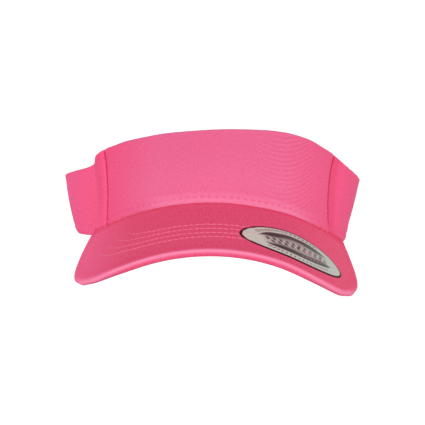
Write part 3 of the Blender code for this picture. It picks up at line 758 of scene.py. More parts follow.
def sticker_film():
    """Silver film with a dark red rim and a plain made-up design of bars,
    blocks and ticks.  UVs run -1..1 over the oval."""
    m = Nodes("sticker_film")
    uv, u, v = m.uv()
    r = m.radius(u, v)
    from_axis = m.calc("ABSOLUTE", v)
    brushed = m.noise(uv, scale=3.0, detail=3.0, rough=0.6)
    film = m.mix(m.ramp(u, -0.7, 0.9, kind="LINEAR"), srgb(206, 200, 190), srgb(172, 175, 165))
    base = m.mix(m.mul(brushed, 0.35), film, srgb(222, 224, 216))
    # field between two crescents, greyer than the rest
    oval = m.radius(m.calc("DIVIDE", u, 0.70), m.calc("DIVIDE", v, 0.62))
    base = m.mix(m.mul(m.ramp(oval, 0.98, 0.72), 0.80), base, srgb(146, 130, 127))
    # crescents: crisp outside, fading inwards
    crescent = m.mul(m.ramp(oval, 0.42, 0.72), m.ramp(oval, 1.05, 0.99))
    crescent = m.mul(crescent, m.ramp(from_axis, 0.13, 0.33))
    base = m.mix(m.mul(crescent, 0.96), base, srgb(22, 16, 16))
    # two rows of small checks across the middle
    checks = m.mul(m.calc("SINE", m.mul(u, 54.0)), m.calc("SINE", m.mul(v, 18.5)))
    checks = m.ramp(checks, 0.02, 0.22)
    strip = m.mul(m.ramp(from_axis, 0.185, 0.165), m.ramp(m.calc("ABSOLUTE", u), 0.60, 0.56))
    base = m.mix(m.mul(strip, 0.45), base, srgb(206, 194, 188))
    base = m.mix(m.mul(m.mul(checks, strip), 0.92), base, srgb(30, 22, 22))
    # ring of ticks, left out at both sides
    angle = m.calc("ARCTAN2", v, u)
    tick = m.calc("GREATER_THAN", m.calc("SINE", m.mul(angle, 62.0)), -0.1)
    ring = m.mul(m.calc("GREATER_THAN", r, 0.73), m.calc("LESS_THAN", r, 0.84))
    steep = m.calc("ABSOLUTE", m.calc("SINE", angle))
    off_centre = m.calc("ABSOLUTE", m.add(u, 0.08))
    arcs = m.mul(m.calc("GREATER_THAN", steep, 0.50), m.calc("LESS_THAN", off_centre, 0.60))
    base = m.mix(m.mul(m.mul(m.mul(tick, ring), arcs), 0.72), base, srgb(70, 50, 50))
    # dark red rim of even width: mm from the edge, 1.65 outwards
    per_mm = m.radius(m.calc("DIVIDE", u, STICKER_A), m.calc("DIVIDE", v, STICKER_B))
    from_edge = m.calc("DIVIDE", m.mul(m.calc("SUBTRACT", 1.0, r), r), per_mm)
    rim = m.ramp(from_edge, 1.65, 1.40)
    base = m.mix(rim, base, srgb(70, 8, 24))
    m.put(m.inputs["Metallic"], m.scaled(rim, -0.10, 0.10))
    return m.surface(base, specular=m.scaled(rim, -0.33, 0.35),
                     rough=m.scaled(brushed, 0.12, 0.34), height=brushed, bump=0.02)


# ---------------------------------------------------------------- the materials
# colours the tone attribute mixes in: painted highlight (LIGHT) and painted shade (SHADE)
LIGHT = srgb(254, 140, 178)
SHADE = srgb(188, 4, 56)
# front panel: its light colour is the painted highlight; its ends are painted shade, deeper and
# redder towards the side seams where the panel turns from the key light
M_FRONT = cloth("twill_front", srgb(226, 101, 144), light=srgb(244, 146, 184), shade=SHADE,
                bars=True, ends=[(srgb(231, 103, 145), 15.0, 40.0, 1),
                                 (srgb(236, 92, 135), 40.0, 80.0, 1),
                                 (srgb(236, 86, 130), 38.0, 78.0, -1)])
# side panels: the -X end is painted light, paler where the rear flare faces the lamps
M_SIDE = cloth("twill_side", srgb(244, 89, 135), rib=1.25, contrast=0.14, angle=52.0,
               light=LIGHT, shade=SHADE, ends=[(srgb(255, 91, 146), 100.0, 132.0, -1)])
# brim: its ends are painted light, paler towards both sides where the side lamps fall; its shade
# colour is for the painted shadow line along the root
M_BRIM = cloth("twill_brim", srgb(230, 74, 115), angle=50.0, light=LIGHT,
               shade=srgb(230, 2, 64), streak=(1.3, 0.25),
               ends=[(srgb(243, 92, 140), 50.0, 90.0, -1), (srgb(237, 84, 122), 30.0, 80.0, 1)])
M_UNDER = cloth("twill_under", srgb(238, 92, 130), angle=50.0, light=LIGHT, shade=SHADE)
M_LINING = cloth("lining_plain", srgb(240, 104, 146), rib=0.9, plain=True, contrast=0.07)
M_SWEAT = cloth("sweatband_brushed", srgb(242, 108, 150), rib=1.1, plain=True, contrast=0.06,
                sheen=0.3, rough=0.95, bump=0.09)
M_TAPE = cloth("seam_tape_twill", srgb(236, 92, 134), rib=1.0, angle=45.0, contrast=0.12)
M_THREAD = thread("thread_pink", srgb(250, 122, 156), faded=srgb(236, 88, 124))
M_THREAD_DARK = thread("thread_rose", srgb(226, 88, 128))
M_FRONT_THREAD = thread("thread_front", srgb(240, 110, 152))
M_BUCKRAM = cloth("buckram_weave", srgb(232, 228, 220), rib=1.3, plain=True, contrast=0.25)
# in the material list for foam padding; no piece wears it
sheet("foam_cells", srgb(238, 232, 214), rough=0.95, bump=0.15, scale=3.0, specular=0.1)
M_BOARD = sheet("brim_board_sheet", srgb(236, 236, 232), rough=0.45, bump=0.02, scale=0.6)
M_HOOK = sheet("hook_nylon", srgb(226, 78, 120), rough=0.42, bump=0.04, scale=2.0, specular=0.5)
M_LOOP = pile("loop_pile", srgb(238, 96, 140))
M_LABEL = cloth("label_satin", srgb(240, 238, 234), rib=0.5, plain=True, contrast=0.05,
                sheen=0.2, rough=0.5)
M_STICKER = sticker_film()

# ---------------------------------------------------------------- band panels
# distances from a side seam of the extra stations beside it
SEAM_STATIONS = np.array([2.2, 1.9, 1.6, 1.35, 1.12, 0.92, 0.74, 0.58, 0.44, 0.32, 0.22, 0.14])


def panel_tone(s, height, face):
    """Painted light (+) and painted shade (-) on a panel: where the cloth is drawn lighter or darker
    than its own colour.
    """
    away = np.abs(s)
    past = away - S_SEAM
    front = away < S_SEAM
    minus = s < 0
    # painted shade in the side seam's crevice: a dark line broken up by its stitches, dying out low
    # on +X
    dark = np.where(minus, 0.92 * (0.90 + 0.10 * np.sin(height * 0.9 + 1.0)),
                    (0.86 + 0.22 * np.cos(height * TAU / 1.45))
                    * (0.06 + 0.86 * ease(height, 4.5, 4.0)))
    line = bell(past + np.where(minus, 0.0, 0.80), 0.0, np.where(front | ~minus, 0.72, 0.58), 4)
    # painted shade beside each seam, most on the band behind it, where the panel turns away from the
    # light
    behind = np.where(minus, -0.20 * bell(past, 6.0, 5.0) * ease(past, 0.0, 3.0)
                      * (0.2 + 0.8 * ease(height, 6.0, 16.0)),
                      -0.22 * bell(past, 2.0, 4.5))
    tone = -dark * line + np.where(front, -0.06 * bell(past, 0.0, 2.0), behind)
    # painted shade in the needle holes of the sweatband row
    holes = bell(height, SEAM_ROW, 0.5) * (0.5 + 0.5 * np.cos(TAU * away / HOLE_PITCH))**3
    hole_dark = (0.62 + 0.38 * ease(s, -30.0, 50.0)) * ease(away, S_SEAM - 14.0, -22.0)
    tone = tone - 0.58 * holes * np.where(front, hole_dark, 0.08)
    # painted light on a strip along the lower edge, where the cloth catches light off the brim, and
    # painted shade at the very bottom where it rolls under
    low = 0.34 * ease(height, 9.1, -3.2)
    lip = np.where(s < -20.0, 0.18, 0.24) * bell(height, 2.7, 1.0)
    span = np.where(minus, ease(away, S_SEAM - 29.0, -24.0), ease(away, S_SEAM - 6.0, -30.0))
    tone = tone + front * ((low + lip) * span - 0.62 * bell(height, 0.0, 0.55))
    # painted light, a touch lighter across the middle, and painted shade, deeper towards the top
    # edge
    middle = 0.10 * bell(height, 16.0, 9.0) * ease(away, 66.0, -30.0)
    share = height / face
    upper = 0.05 * ease(share, 0.55, 0.35) + 0.06 * bell(s, -14.0, 32.0) * ease(share, 0.2, 0.2)
    return tone + front * (middle - upper)


def panel_depth(s, height, face):
    """Small relief of a panel's face, as depth inwards."""
    seam = np.abs(np.abs(s) - S_SEAM)
    # the panels roll under where they meet at the side seams
    depth = ((1.6 * bell(seam, 0.0, 0.42) + 0.16 * bell(seam, 0.0, 1.4))
             * np.where(s > 0, 0.25 + 0.75 * ease(height, 2.5, 4.5), 1.0))
    # the sweatband row pulls in, with fullness on both sides of it and at the top
    depth = depth + (0.22 * bell(height, SEAM_ROW, 0.85)
                     * (0.7 + 0.5 * np.cos(TAU * s / HOLE_PITCH)))
    depth = depth - 0.26 * bell(height, 3.0, 1.1) - 0.16 * bell(height, 7.1, 1.5)
    depth = depth - 0.28 * bell(height, face, 2.6)
    # the lower edge rolls under, less so on the side panels' open hem
    open_hem = ease(np.abs(s), S_ROOT, 12.0)
    return depth + (0.9 - 0.2 * open_hem) * bell(height, 0.0, 0.8)


def panel(name, s, rows, mat):
    """Turned-edge panel at stations s. Each section runs up the face, over the top
    and down inside."""
    s = s[:, None]
    face = face_height(s)
    hem_r = HEM_T / 2
    height = np.linspace(0, 1, rows) * (face - hem_r)
    turn = np.linspace(0, math.pi, 9)[1:]
    down = HEM_DROP * np.linspace(0, 1, 8)[1:]
    depth = panel_depth(s, height, face)
    top = depth[:, -1:]

    def section(inset):
        r = hem_r - inset
        return np.concatenate([
            band(s, height, depth + inset),
            band(s, face - hem_r, top + inset + r * (1 - np.cos(turn)), up=r * np.sin(turn)),
            band(s, face - hem_r - down, top + HEM_T - inset)], 1)

    outer = section(0.0)
    hem_tone = np.zeros((len(s), len(turn) + len(down)))
    tone = np.concatenate([panel_tone(s, height, face), hem_tone], 1)
    # v counts from a level line so that the weave stays straight
    level = outer[:, :1, 2] - outer[len(s) // 2, 0, 2]
    return shell(name, outer, section(TWILL_T), mat,
                 grid_uv(s[:, 0], arc_length(outer) + level), tone)


def build_panels():
    count = int(2 * S_SEAM / (0.55 / FINE))
    near = S_SEAM - SEAM_STATIONS
    s = np.r_[-near[::-1], np.linspace(-S_SEAM + 2.5, S_SEAM - 2.5, count), near]
    fit(panel("front_panel_cloth", s, int(110 * FINE), M_FRONT), "twill", "front_panel")
    count = int((S_PANEL_END - S_SEAM) / (0.62 / FINE))
    away = np.r_[S_SEAM + SEAM_STATIONS[::-1],
                 np.linspace(S_SEAM + 2.5, S_PANEL_END - 0.2, count)]
    for side, word in SIDES:
        ob = panel("side_panel_cloth_" + word, side * away, int(80 * FINE), M_SIDE)
        fit(ob, "side_twill", "side_panel_fore_" + word, "side_panel_rear_" + word, flex=side)


# ---------------------------------------------------------------- linings
def layer(name, s, low, below_top, depth, thick, rows, mat):
    """Plain inner layer from low above the lower edge to below_top under the top."""
    s = s[:, None]
    height = low + (face_height(s) - below_top - low) * np.linspace(0, 1, rows)
    return shell(name, band(s, height, depth), band(s, height, depth + thick), mat)


def build_linings():
    s = np.linspace(-S_SEAM + 0.9, S_SEAM - 0.9, int(220 * FINE))
    ob = layer("front_lining_cloth", s, low=1.0, below_top=4.5, depth=2.35, thick=0.5,
               rows=int(44 * FINE), mat=M_LINING)
    fit(ob, "lining", "front_lining")
    ob = layer("front_buckram", s[::2], low=3.4, below_top=1.9, depth=1.05, thick=0.75,
               rows=20, mat=M_BUCKRAM)
    fit(ob, "buckram", "front_interlining")
    for side, word in SIDES:
        away = np.linspace(S_SEAM + 0.9, S_PANEL_END - 0.6, int(260 * FINE))
        ob = layer("side_lining_cloth_" + word, side * away, low=1.0, below_top=4.5, depth=2.0,
                   thick=0.5, rows=int(30 * FINE), mat=M_LINING)
        fit(ob, "lining", "side_lining_fore_" + word, "side_lining_rear_" + word, flex=side)
        build_seam_tape(side, word)


def build_seam_tape(side, word):
    half = 5.5
    across = np.linspace(-half, half, 24)
    bow = 0.125 * np.cos(across / half * TAU) + 0.15
    ob = layer("seam_tape_cloth_" + word, side * (S_SEAM + across), low=1.2, below_top=3.0,
               depth=3.35 + bow[:, None], thick=0.4, rows=40, mat=M_TAPE)
    fit(ob, "seam_tape", "seam_tape_" + word)


# ---------------------------------------------------------------- sweatband
def sweat_height(s):
    return np.minimum(SWEAT_H, face_height(s) - 4.5)


def build_sweatband():
    """Padded band, full in the middle and held by its lower edge."""
    away = np.linspace(0.0, S_SWEAT_END, int(420 * FINE))
    t = np.linspace(0, 1, int(44 * FINE))
    full = np.sin(np.pi * t)**0.35
    for side, word in SIDES:
        s = (side * away)[:, None]
        tall = sweat_height(s)
        # puckers where the cover is gathered by the lower stitching
        pucker = (0.16 * np.sin(s * 1.15 + 1.7 * np.sin(s * 0.21)) * bell(t * tall, 0.0, 5.0)
                  + 0.10 * np.sin(s * 0.31 + 0.6) * np.sin(3.0 * t + 0.4))
        height = 0.8 + (tall - 0.8) * t
        groove = 0.45 * bell(tall - height, 3.2, 0.9)
        outer = band(s, height, D_SWEAT + 0.25 * (1 - full))
        inner = band(s, height, D_SWEAT + SWEAT_T + SWEAT_PAD * full + pucker - groove)
        ob = shell("sweatband_cloth_" + word, outer, inner, M_SWEAT)
        replaced = ["sweatband_cover_" + word, "sweatband_foam_" + word]
        if side > 0:
            replaced += ["sweatband_cover_front", "sweatband_foam_front"]
        fit(ob, "sweatband", *replaced, flex=side)


# ---------------------------------------------------------------- brim outline
def brim_outline():
    """Points of the +X half's edge, from the middle of the front back to the root."""
    tip_y = FRONT_Y - BRIM_LENGTH * BRIM_COS
    root_y = WIDE_Y - DEPTH * math.sqrt(1 - (BRIM_ROOT_X / WIDE_X)**2)
    knots = np.array([(0, tip_y), (50.36, tip_y + 14.1), (BRIM_HALF, FRONT_Y + 12.8),
                      (BRIM_HALF - 4.0, FRONT_Y + 40.2), (BRIM_ROOT_X, root_y)])
    dist = arc_length(knots)
    at = np.linspace(0, dist[-1], 1200)
    return np.stack([cubic(dist, knots[:, 0], 1.0)(at), cubic(dist, knots[:, 1], 0.0)(at)], -1)


OUTLINE = brim_outline()
OUT_DIST = arc_length(OUTLINE)
OUT_LEN = float(OUT_DIST[-1])


def outline(u):
    """Edge points and their outward normals; u runs -1..1 from -X to +X."""
    away = np.abs(u) * OUT_LEN
    x, y = sample(OUTLINE, OUT_DIST, away).T
    tx, ty = (sample(OUTLINE, OUT_DIST, np.minimum(away + 1, OUT_LEN))
              - sample(OUTLINE, OUT_DIST, np.maximum(away - 1, 0))).T
    length = np.hypot(tx, ty)
    minus = np.where(u < 0, 1.0, 0.0)
    plus = 1 - minus
    # the -X corner is cut a little rounder
    y = y + minus * (1.5 * bell(x, 62.0, 11.0) + 2.2 * bell(x, 77.0, 6.0) * bell(y, -104.0, 14.0))
    y = y + (minus * (0.8 * bell(x, 79.0, 4.0) + 2.9 * bell(x, 75.0, 4.0))
             * bell(y, -108.0, 14.0))
    y = y + minus * 2.0 * bell(x, 71.5, 4.5) * bell(y, -127.0, 14.0)
    x = x + minus * 0.5 * bell(y, -86.0, 12.0)
    y = y + plus * (5.0 * bell(x, 80.5, 4.8) * bell(y, -104.0, 12.0)
                    + 2.4 * bell(x, 75.0, 3.8) * bell(y, -121.0, 13.0))
    x = x - minus * 0.6 * ease(x, 58.0, 18.0)
    x = x + plus * (-0.6 * ease(y, FRONT_Y + 14.0, 24.0) - 0.5 * bell(y, -66.0, 9.0)
                    + 1.9 * ease(y, -60.0, 11.0))
    side = side_of(u)
    return side * x, y, side * ty / length * np.clip(away, 0, 1), -tx / length


def root_line(u):
    """Root points and their outward normals, for the same u."""
    away = np.abs(u) * (S_BRIM_ROOT + np.where(u > 0, 2.4, 0.0) * np.abs(u)**6)
    x, y = plan_xy(away)
    nx, ny = plan_normal(away)
    return side_of(u) * x, y, side_of(u) * nx, ny


# The brim is part of a slanting cylinder, so it unrolls flat: u across it,
# v along its straight lines.
FLAT_X = np.linspace(-96, 96, 1921)
_stretch = np.sqrt(1 + (arch_slope(FLAT_X) * BRIM_COS)**2)
FLAT_U = np.r_[0, np.cumsum((_stretch[1:] + _stretch[:-1]) / 2 * np.diff(FLAT_X))]
FLAT_U -= np.interp(0.0, FLAT_X, FLAT_U)


def unroll(x, y):
    back = y - FRONT_Y
    return (np.interp(x, FLAT_X, FLAT_U),
            BRIM_COS * (back + BRIM_PITCH * (arch(x) + BRIM_PITCH * back)))


def roll_up(u, v):
    x = np.interp(u, FLAT_U, FLAT_X)
    return x, (v / BRIM_COS - BRIM_PITCH * arch(x)) / (1 + BRIM_PITCH**2) + FRONT_Y


EDGE = np.stack(unroll(*outline(np.linspace(-1, 1, 601))[:2]), -1)


def edge_distance(x, y):
    """Distance from the brim's edge, measured on the flat cloth."""
    u, v = unroll(x, y)
    flat = np.stack([u.ravel(), v.ravel()], -1)
    out = np.empty(len(flat))
    chunk = 20000                      # keeps the distance tables small
    for start in range(0, len(flat), chunk):
        part = flat[start:start + chunk]
        du = part[:, :1] - EDGE[None, :, 0]
        dv = part[:, 1:] - EDGE[None, :, 1]
        out[start:start + chunk] = np.sqrt((du * du + dv * dv).min(axis=1))
    return out.reshape(u.shape)


def fan(us, root_gap=0.0, edge_gap=0.0):
    """Lines from root to edge. Gives a function from distance past the root to x and y,
    and the distances where the gaps to root and edge are reached."""
    edge_x, edge_y, edge_nx, edge_ny = (a[:, None] for a in outline(us))
    root_x, root_y, root_nx, root_ny = (a[:, None] for a in root_line(us))
    dx, dy = edge_x - root_x, edge_y - root_y
    length = np.hypot(dx, dy)
    dx, dy = dx / length, dy / length
    at_root = np.maximum(dx * root_nx + dy * root_ny, 0.45)
    at_edge = np.maximum(dx * edge_nx + dy * edge_ny, 0.45)

    def spread(reach):
        return root_x + dx * reach, root_y + dy * reach

    return spread, root_gap / at_root, length - edge_gap / at_edge


# ---------------------------------------------------------------- brim covers
def brim_relief(x, y):
    """Grooves under the rows of stitching and slight fullness between them."""
    inset = edge_distance(x, y)
    fade = 1.0 - 0.92 * ease(np.abs(x), 40.0, 14.0)
    relief = 0.10 * np.sin(x * 0.09 + 0.5) * np.sin(y * 0.11) * ease(inset, 0.0, 8.0)
    for row in ROWS:
        relief += fade * (0.10 * bell(inset, row + 1.9, 1.1) + 0.10 * bell(inset, row - 1.9, 1.1)
                          - ROW_DEPTH * bell(inset, row, 0.9))
    return relief


def brim_tone(x, y, from_root):
    """Painted highlight along the rim's fold, and painted shade just behind the fold, beside the
    stitching rows and along the root.
    """
    inset = edge_distance(x, y)
    # painted highlight on the fold, painted shade just behind it
    tone = 0.50 * bell(np.maximum(inset, 0.5), 0.5, 1.3) - 0.10 * bell(inset, 5.5, 3.0)
    fade = 1.0 - ease(np.abs(x), 40.0, 14.0)
    for row in ROWS:
        tone -= fade * 0.07 * bell(inset, row + 0.9, 0.8)
    # painted shadow line along the root, where the brim meets the band
    root = 0.20 + 0.16 * ease(x, -5.0, 28.0) + 0.10 * ease(x, -38.0, -22.0)
    return tone - root * bell(np.maximum(from_root, 4.6), 4.6, 1.4)


_t = np.linspace(-1, 1, int(380 * FINE) + 1)
BRIM_U = 0.985 * (_t * 0.70 + 0.30 * np.sin(_t * math.pi / 2))

# upper cover next to the root: share of the zone, drop below the upper face
ROOT_ZONE = np.array([(-0.10, 3.5), (0.0, 3.0), (0.08, 1.65), (0.18, 1.10), (0.3, 0.80),
                      (0.45, 0.56), (0.62, 0.33), (0.8, 0.13), (1.0, 0.0)])
# tight fold at the rim: distance past the edge, height, tone there, tone where it is round; the
# tones are a painted highlight on the fold and painted light on its lower face
RIM = np.array([
    (-1.05, TOP_H, 0.55, 0.50), (-0.7, TOP_H - 0.06, 0.75, 0.70), (-0.42, TOP_H - 0.2, 0.88, 0.86),
    (-0.2, TOP_H - 0.45, 0.88, 0.86), (-0.07, TOP_H - 0.8, 0.78, 0.74),
    (0.0, TOP_H - 1.2, 0.55, 0.56), (0.05, 0.4, 0.32, 0.40), (0.08, 0.0, 0.16, 0.28),
    (0.08, -0.5, 0.08, 0.22), (0.05, -1.0, 0.06, 0.20), (-0.02, -1.4, 0.06, 0.22),
    (-0.2, -1.75, 0.10, 0.28), (-0.5, -1.98, 0.2, 0.3), (-0.95, -2.1, 0.3, 0.3)])


def build_upper_cover():
    cloth_t = 0.6
    spread, _, edge = fan(BRIM_U)
    edge = edge + 0.6
    share, fall = ROOT_ZONE.T
    zone = np.minimum(6.0, 0.35 * edge)
    far = np.linspace(0, 1, int(120 * FINE) + 1)[1:]
    reach = np.concatenate([zone * share, zone + (edge - 1.5 - zone) * far], 1)
    x, y = spread(reach)
    relief = brim_relief(x, y)
    relief[:, :len(share)] = 0
    height = TOP_H - np.r_[fall, 0 * far] + relief

    # rim: a tight fold in front that gets rounder towards the sides
    past, rim_h, tight_tone, round_tone = RIM.T
    turn = np.linspace(0.12, 0.98, len(RIM)) * math.pi
    edge_x = spread(edge)[0]
    rounded = ease(np.abs(edge_x), 42.0, 26.0)
    past = past * (1 - rounded) + (-1.95 + 2.0 * np.sin(turn)) * rounded
    rim_h = rim_h * (1 - rounded) + 2.02 * np.cos(turn) * rounded
    thinner = 0.5 * ease(edge_x, -58.0, -14.0)
    rim_h = np.where(rim_h < 0, rim_h * (1 - thinner / 2.1), rim_h)
    rim_x, rim_y = spread(edge + past)
    slope = unit(np.stack([np.gradient(past, axis=1), np.gradient(rim_h, axis=1)], -1))
    in_x, in_y = spread(edge + past + slope[..., 1] * cloth_t)
    in_h = rim_h - slope[..., 0] * cloth_t
    outer = np.concatenate([brim_point(x, y, height), brim_point(rim_x, rim_y, rim_h)], 1)
    inner = np.concatenate([brim_point(x, y, height - cloth_t), brim_point(in_x, in_y, in_h)], 1)

    # the painted highlight along the fold dies out along the sides
    along = 1.0 - 0.85 * ease(rim_y, -118.0, 24.0)
    tone = brim_tone(x, y, reach)
    tone = np.concatenate([tone * np.where(tone > 0, along[:, :1], 1.0),
                           (tight_tone * (1 - rounded) + round_tone * rounded) * along], 1)
    # the weave runs straight across the unrolled brim, then on over the rim
    across, back = unroll(outer[..., 0], outer[..., 1])
    run = arc_length(outer)
    over = np.maximum(run - (run[:, -1:] - 4.6), 0)
    ob = shell("brim_upper_cloth", outer, inner, M_BRIM, np.stack([across, back - over], -1), tone)
    fit(ob, "brim_twill", "brim_upper_cover")


def build_lower_cover():
    spread, _, edge = fan(BRIM_U)
    edge = edge + 0.6 - 1.0
    reach = -0.5 + (edge + 0.5) * np.linspace(0, 1, int(100 * FINE))
    x, y = spread(reach)
    inset = edge - reach
    height = (-TOP_H - 0.05 - 0.6 * brim_relief(x, y) + 0.35 * bell(inset, 0.0, 0.7)
              + 0.5 * ease(x, -58.0, -14.0) * bell(inset, 0.0, 7.0)
              - 0.25 * bell(np.maximum(reach, 0), 0.0, 3.0))
    upper = brim_point(x, y, height + 0.55)
    uv = np.stack(unroll(upper[..., 0], upper[..., 1]), -1)
    ob = shell("brim_under_cloth", upper, brim_point(x, y, height), M_UNDER, uv)
    fit(ob, "brim_under_twill", "brim_lower_cover")


def build_board():
    """Stiff board inside the covers."""
    gaps = {"root_gap": 6.0, "edge_gap": 2.4}
    us = BRIM_U[8:-8:3]
    _, start, end = fan(us, **gaps)
    spread, start, end = fan(us[(end > start + 2.5).ravel()], **gaps)
    x, y = spread(start + (end - start) * np.linspace(0, 1, 24))
    ob = shell("brim_board_sheet", brim_point(x, y, 0.9), brim_point(x, y, -0.6), M_BOARD)
    fit(ob, "board", "brim_board")


# ---------------------------------------------------------------- brim stitching
def row_path(inset):
    """Line at a constant distance from the edge on the flat brim."""
    way = unit(np.gradient(EDGE, axis=0))
    line = EDGE + np.stack([-way[:, 1], way[:, 0]], -1) * inset
    dist = arc_length(line)
    x, y = roll_up(*sample(line, dist, np.linspace(0, dist[-1], 900)).T)
    # only where the line really is that far from every part of the edge
    clear = edge_distance(x, y) > inset - 0.25
    off_band = (x / (WIDE_X + 1.6))**2 + ((y - WIDE_Y) / (DEPTH + 1.6))**2 > 1.0
    keep = np.where(clear & off_band & (y < WIDE_Y - 40))[0]
    path = np.stack([x, y], -1)[keep.min():keep.max() + 1]
    for _ in range(3):
        path[1:-1] = (path[:-2] + 2 * path[1:-1] + path[2:]) / 4
    return path.T


def build_brim_stitches():
    for k, inset in enumerate(ROWS):
        x, y = row_path(inset)
        normal = brim_normal(x, y)
        # worked in deeper where each row turns back towards the seam
        sunk = 0.46 * ease(np.abs(x), 40.0 + 5.0 * k, 12.0)
        path = brim_point(x, y, TOP_H + brim_relief(x, y) + 0.06 - sunk)
        ob = stitches("brim_stitches_row_%d" % (k + 1), path, normal, M_THREAD, pitch=3.2,
                      length=2.85, radius=0.26, rise=0.16, sink=0.2, seed=11 + k,
                      tone=0.10 + 0.90 * ease(np.abs(x), 30.0 + 5.0 * k, 20.0))
        fit(ob, "thread", "brim_stitch_row_%d" % (k + 1))
        path = brim_point(x, y, -TOP_H - 0.10 + 0.6 * ROW_DEPTH)
        ob = stitches("brim_under_stitches_row_%d" % (k + 1), path, -normal, M_THREAD, pitch=3.0,
                      length=2.7, radius=0.24, rise=0.12, sink=0.2, seed=31 + k, start=1.5)
        fit(ob, "thread")


# ---------------------------------------------------------------- band stitching
def band_row(name, s, height, depth, mat, out=1.0, **thread_shape):
    """Stitches on the band; out is +1 on the outer face and -1 on an inner one."""
    path = band(s, height, depth)
    return stitches(name, path, unit(band(s, height, depth - out) - path), mat, **thread_shape)


def build_band_stitches():
    end = int(S_SEAM / HOLE_PITCH) * HOLE_PITCH
    s = np.linspace(-end, end, 900)
    ob = band_row("sweatband_stitches_front", s, SEAM_ROW, 0.42 + 0.25 * ease(np.abs(s), 46.0, 20.0),
                  M_FRONT_THREAD, pitch=HOLE_PITCH * 0.9999, length=3.3, radius=0.20, rise=0.05,
                  sink=0.45, seed=5)
    fit(ob, "thread", "sweatband_stitching")
    for side, word in SIDES:
        s = side * np.linspace(S_SEAM + 1.2, S_ARC - 34.0, 900)
        ob = band_row("sweatband_stitches_" + word, s, SEAM_ROW, 0.37, M_THREAD_DARK,
                      pitch=HOLE_PITCH, length=3.3, radius=0.20, rise=0.05, sink=0.3, seed=6)
        fit(ob, "thread", "sweatband_stitching_" + word, flex=side)
        # topstitching beside the side seam
        s = side * (S_SEAM + 2.0)
        height = np.linspace(1.5, float(face_height(s)) - 0.8, 200)
        ob = band_row("seam_stitches_" + word, s, height, 0.32, M_THREAD_DARK, pitch=3.0,
                      length=2.4, radius=0.2, rise=0.05, sink=0.3, seed=8)
        fit(ob, "thread", "seam_topstitch_" + word)
        # both edges of the seam tape, inside
        height = np.linspace(4.0, float(face_height(side * S_SEAM)) - 5.0, 200)
        for offset, edge in ((-4.3, "fore"), (4.3, "rear")):
            ob = band_row("seam_tape_stitches_%s_%s" % (word, edge), side * (S_SEAM + offset),
                          height, 3.73, M_THREAD, out=-1.0, pitch=3.0, length=2.4, radius=0.2,
                          rise=0.1, sink=0.25, seed=9)
            fit(ob, "thread")
    # along the sweatband's folded top
    for side, word in SIDES:
        s = side * np.linspace(0.8, S_SWEAT_END - 2.0, 1200)
        depth = D_SWEAT + SWEAT_T + SWEAT_PAD * 0.78 - 0.45
        ob = band_row("sweatband_top_stitches_" + word, s, sweat_height(s) - 3.2, depth, M_THREAD,
                      out=-1.0, pitch=3.1, length=2.5, radius=0.22, rise=0.25, sink=0.25, seed=14)
        fit(ob, "thread", flex=side)


# ---------------------------------------------------------------- closure
def strap_point(arc, z, depth, side):
    """Point on the back arc; arc is the distance round it towards the strap's arm."""
    r = ARC_R + 0.09 * z - depth
    turn = arc / ARC_R
    points = np.stack([side * r * np.sin(turn), HINGE_Y + r * np.cos(turn), z + 0 * arc], -1)
    return shove(points, points[..., 1])


def strap(name, ends, depth, thick, mat, side, inset=0.0, relief=None):
    """Flat strap with a rounded tip and rolled edges."""
    root, tip = back_arc(ends[0]), back_arc(ends[1])
    r = TIP_R - inset
    arc = np.linspace(root, tip, int((root - tip) / 0.55 * FINE))
    # finer towards the rounded end
    tail = tip + r * (1 - np.sin(np.linspace(0, math.pi / 2, 26)))
    arc = np.r_[arc[arc - tip > r], tail][:, None]
    into = np.clip((r - np.abs(arc - tip)) / r, 0, 0.999)
    cut = r * (1 - np.sqrt(1 - into * into))
    low = STRAP_BOTTOM + 0.5 + inset + cut
    high = STRAP_TOP - 0.5 - inset - cut
    z = low + (high - low) * (0.5 - 0.5 * np.cos(np.linspace(0, math.pi, 40)))
    edge = np.clip(np.minimum(z - low, high - z) / 0.7, 0, 1)
    half = 0.5 * thick * (0.35 + 0.65 * np.sqrt(1 - (1 - edge)**2))
    middle = depth + 0.5 * thick
    groove = relief(arc, z) if relief is not None else 0.0
    return shell(name, strap_point(arc, z, middle - half + groove, side),
                 strap_point(arc, z, middle + half, side), mat, grid_uv(arc[:, 0], z))


def rectangle_groove(x_root, x_tip):
    """Groove along the rectangle of stitches that holds a tape."""
    low, high = back_arc(x_tip), back_arc(x_root)
    z0, z1 = TAPE_ROW_Z

    def depth(arc, z):
        outside = np.hypot(np.maximum(np.maximum(low - arc, arc - high), 0),
                           np.maximum(np.maximum(z0 - z, z - z1), 0))
        inside = np.minimum(np.minimum(arc - low, high - arc), np.minimum(z - z0, z1 - z))
        return 0.22 * bell(np.where(inside > 0, inside, outside), 0.0, 0.8)
    return depth


def tape_rows(name, x_root, x_tip, depth, side, body, replaced, out=1.0):
    """Four rows of stitches round a tape; the first stands for the CAD piece."""
    z0, z1 = TAPE_ROW_Z
    corners = np.array([(x_root, z0), (x_tip, z0), (x_tip, z1), (x_root, z1), (x_root, z0)])
    w = np.linspace(0, 1, 120)
    for k in range(4):
        x, z = corners[k][:, None] + (corners[k + 1] - corners[k])[:, None] * w
        arc = back_arc(x)
        path = strap_point(arc, z, depth, side)
        normal = unit(strap_point(arc, z, depth - out, side) - path)
        ob = stitches("%s_%d" % (name, k + 1), path, normal, M_THREAD, pitch=2.9, length=2.35,
                      radius=0.2, rise=0.12, sink=0.25, seed=20 + k)
        fit(ob, "thread", *([replaced] if k == 0 else []), body=body)


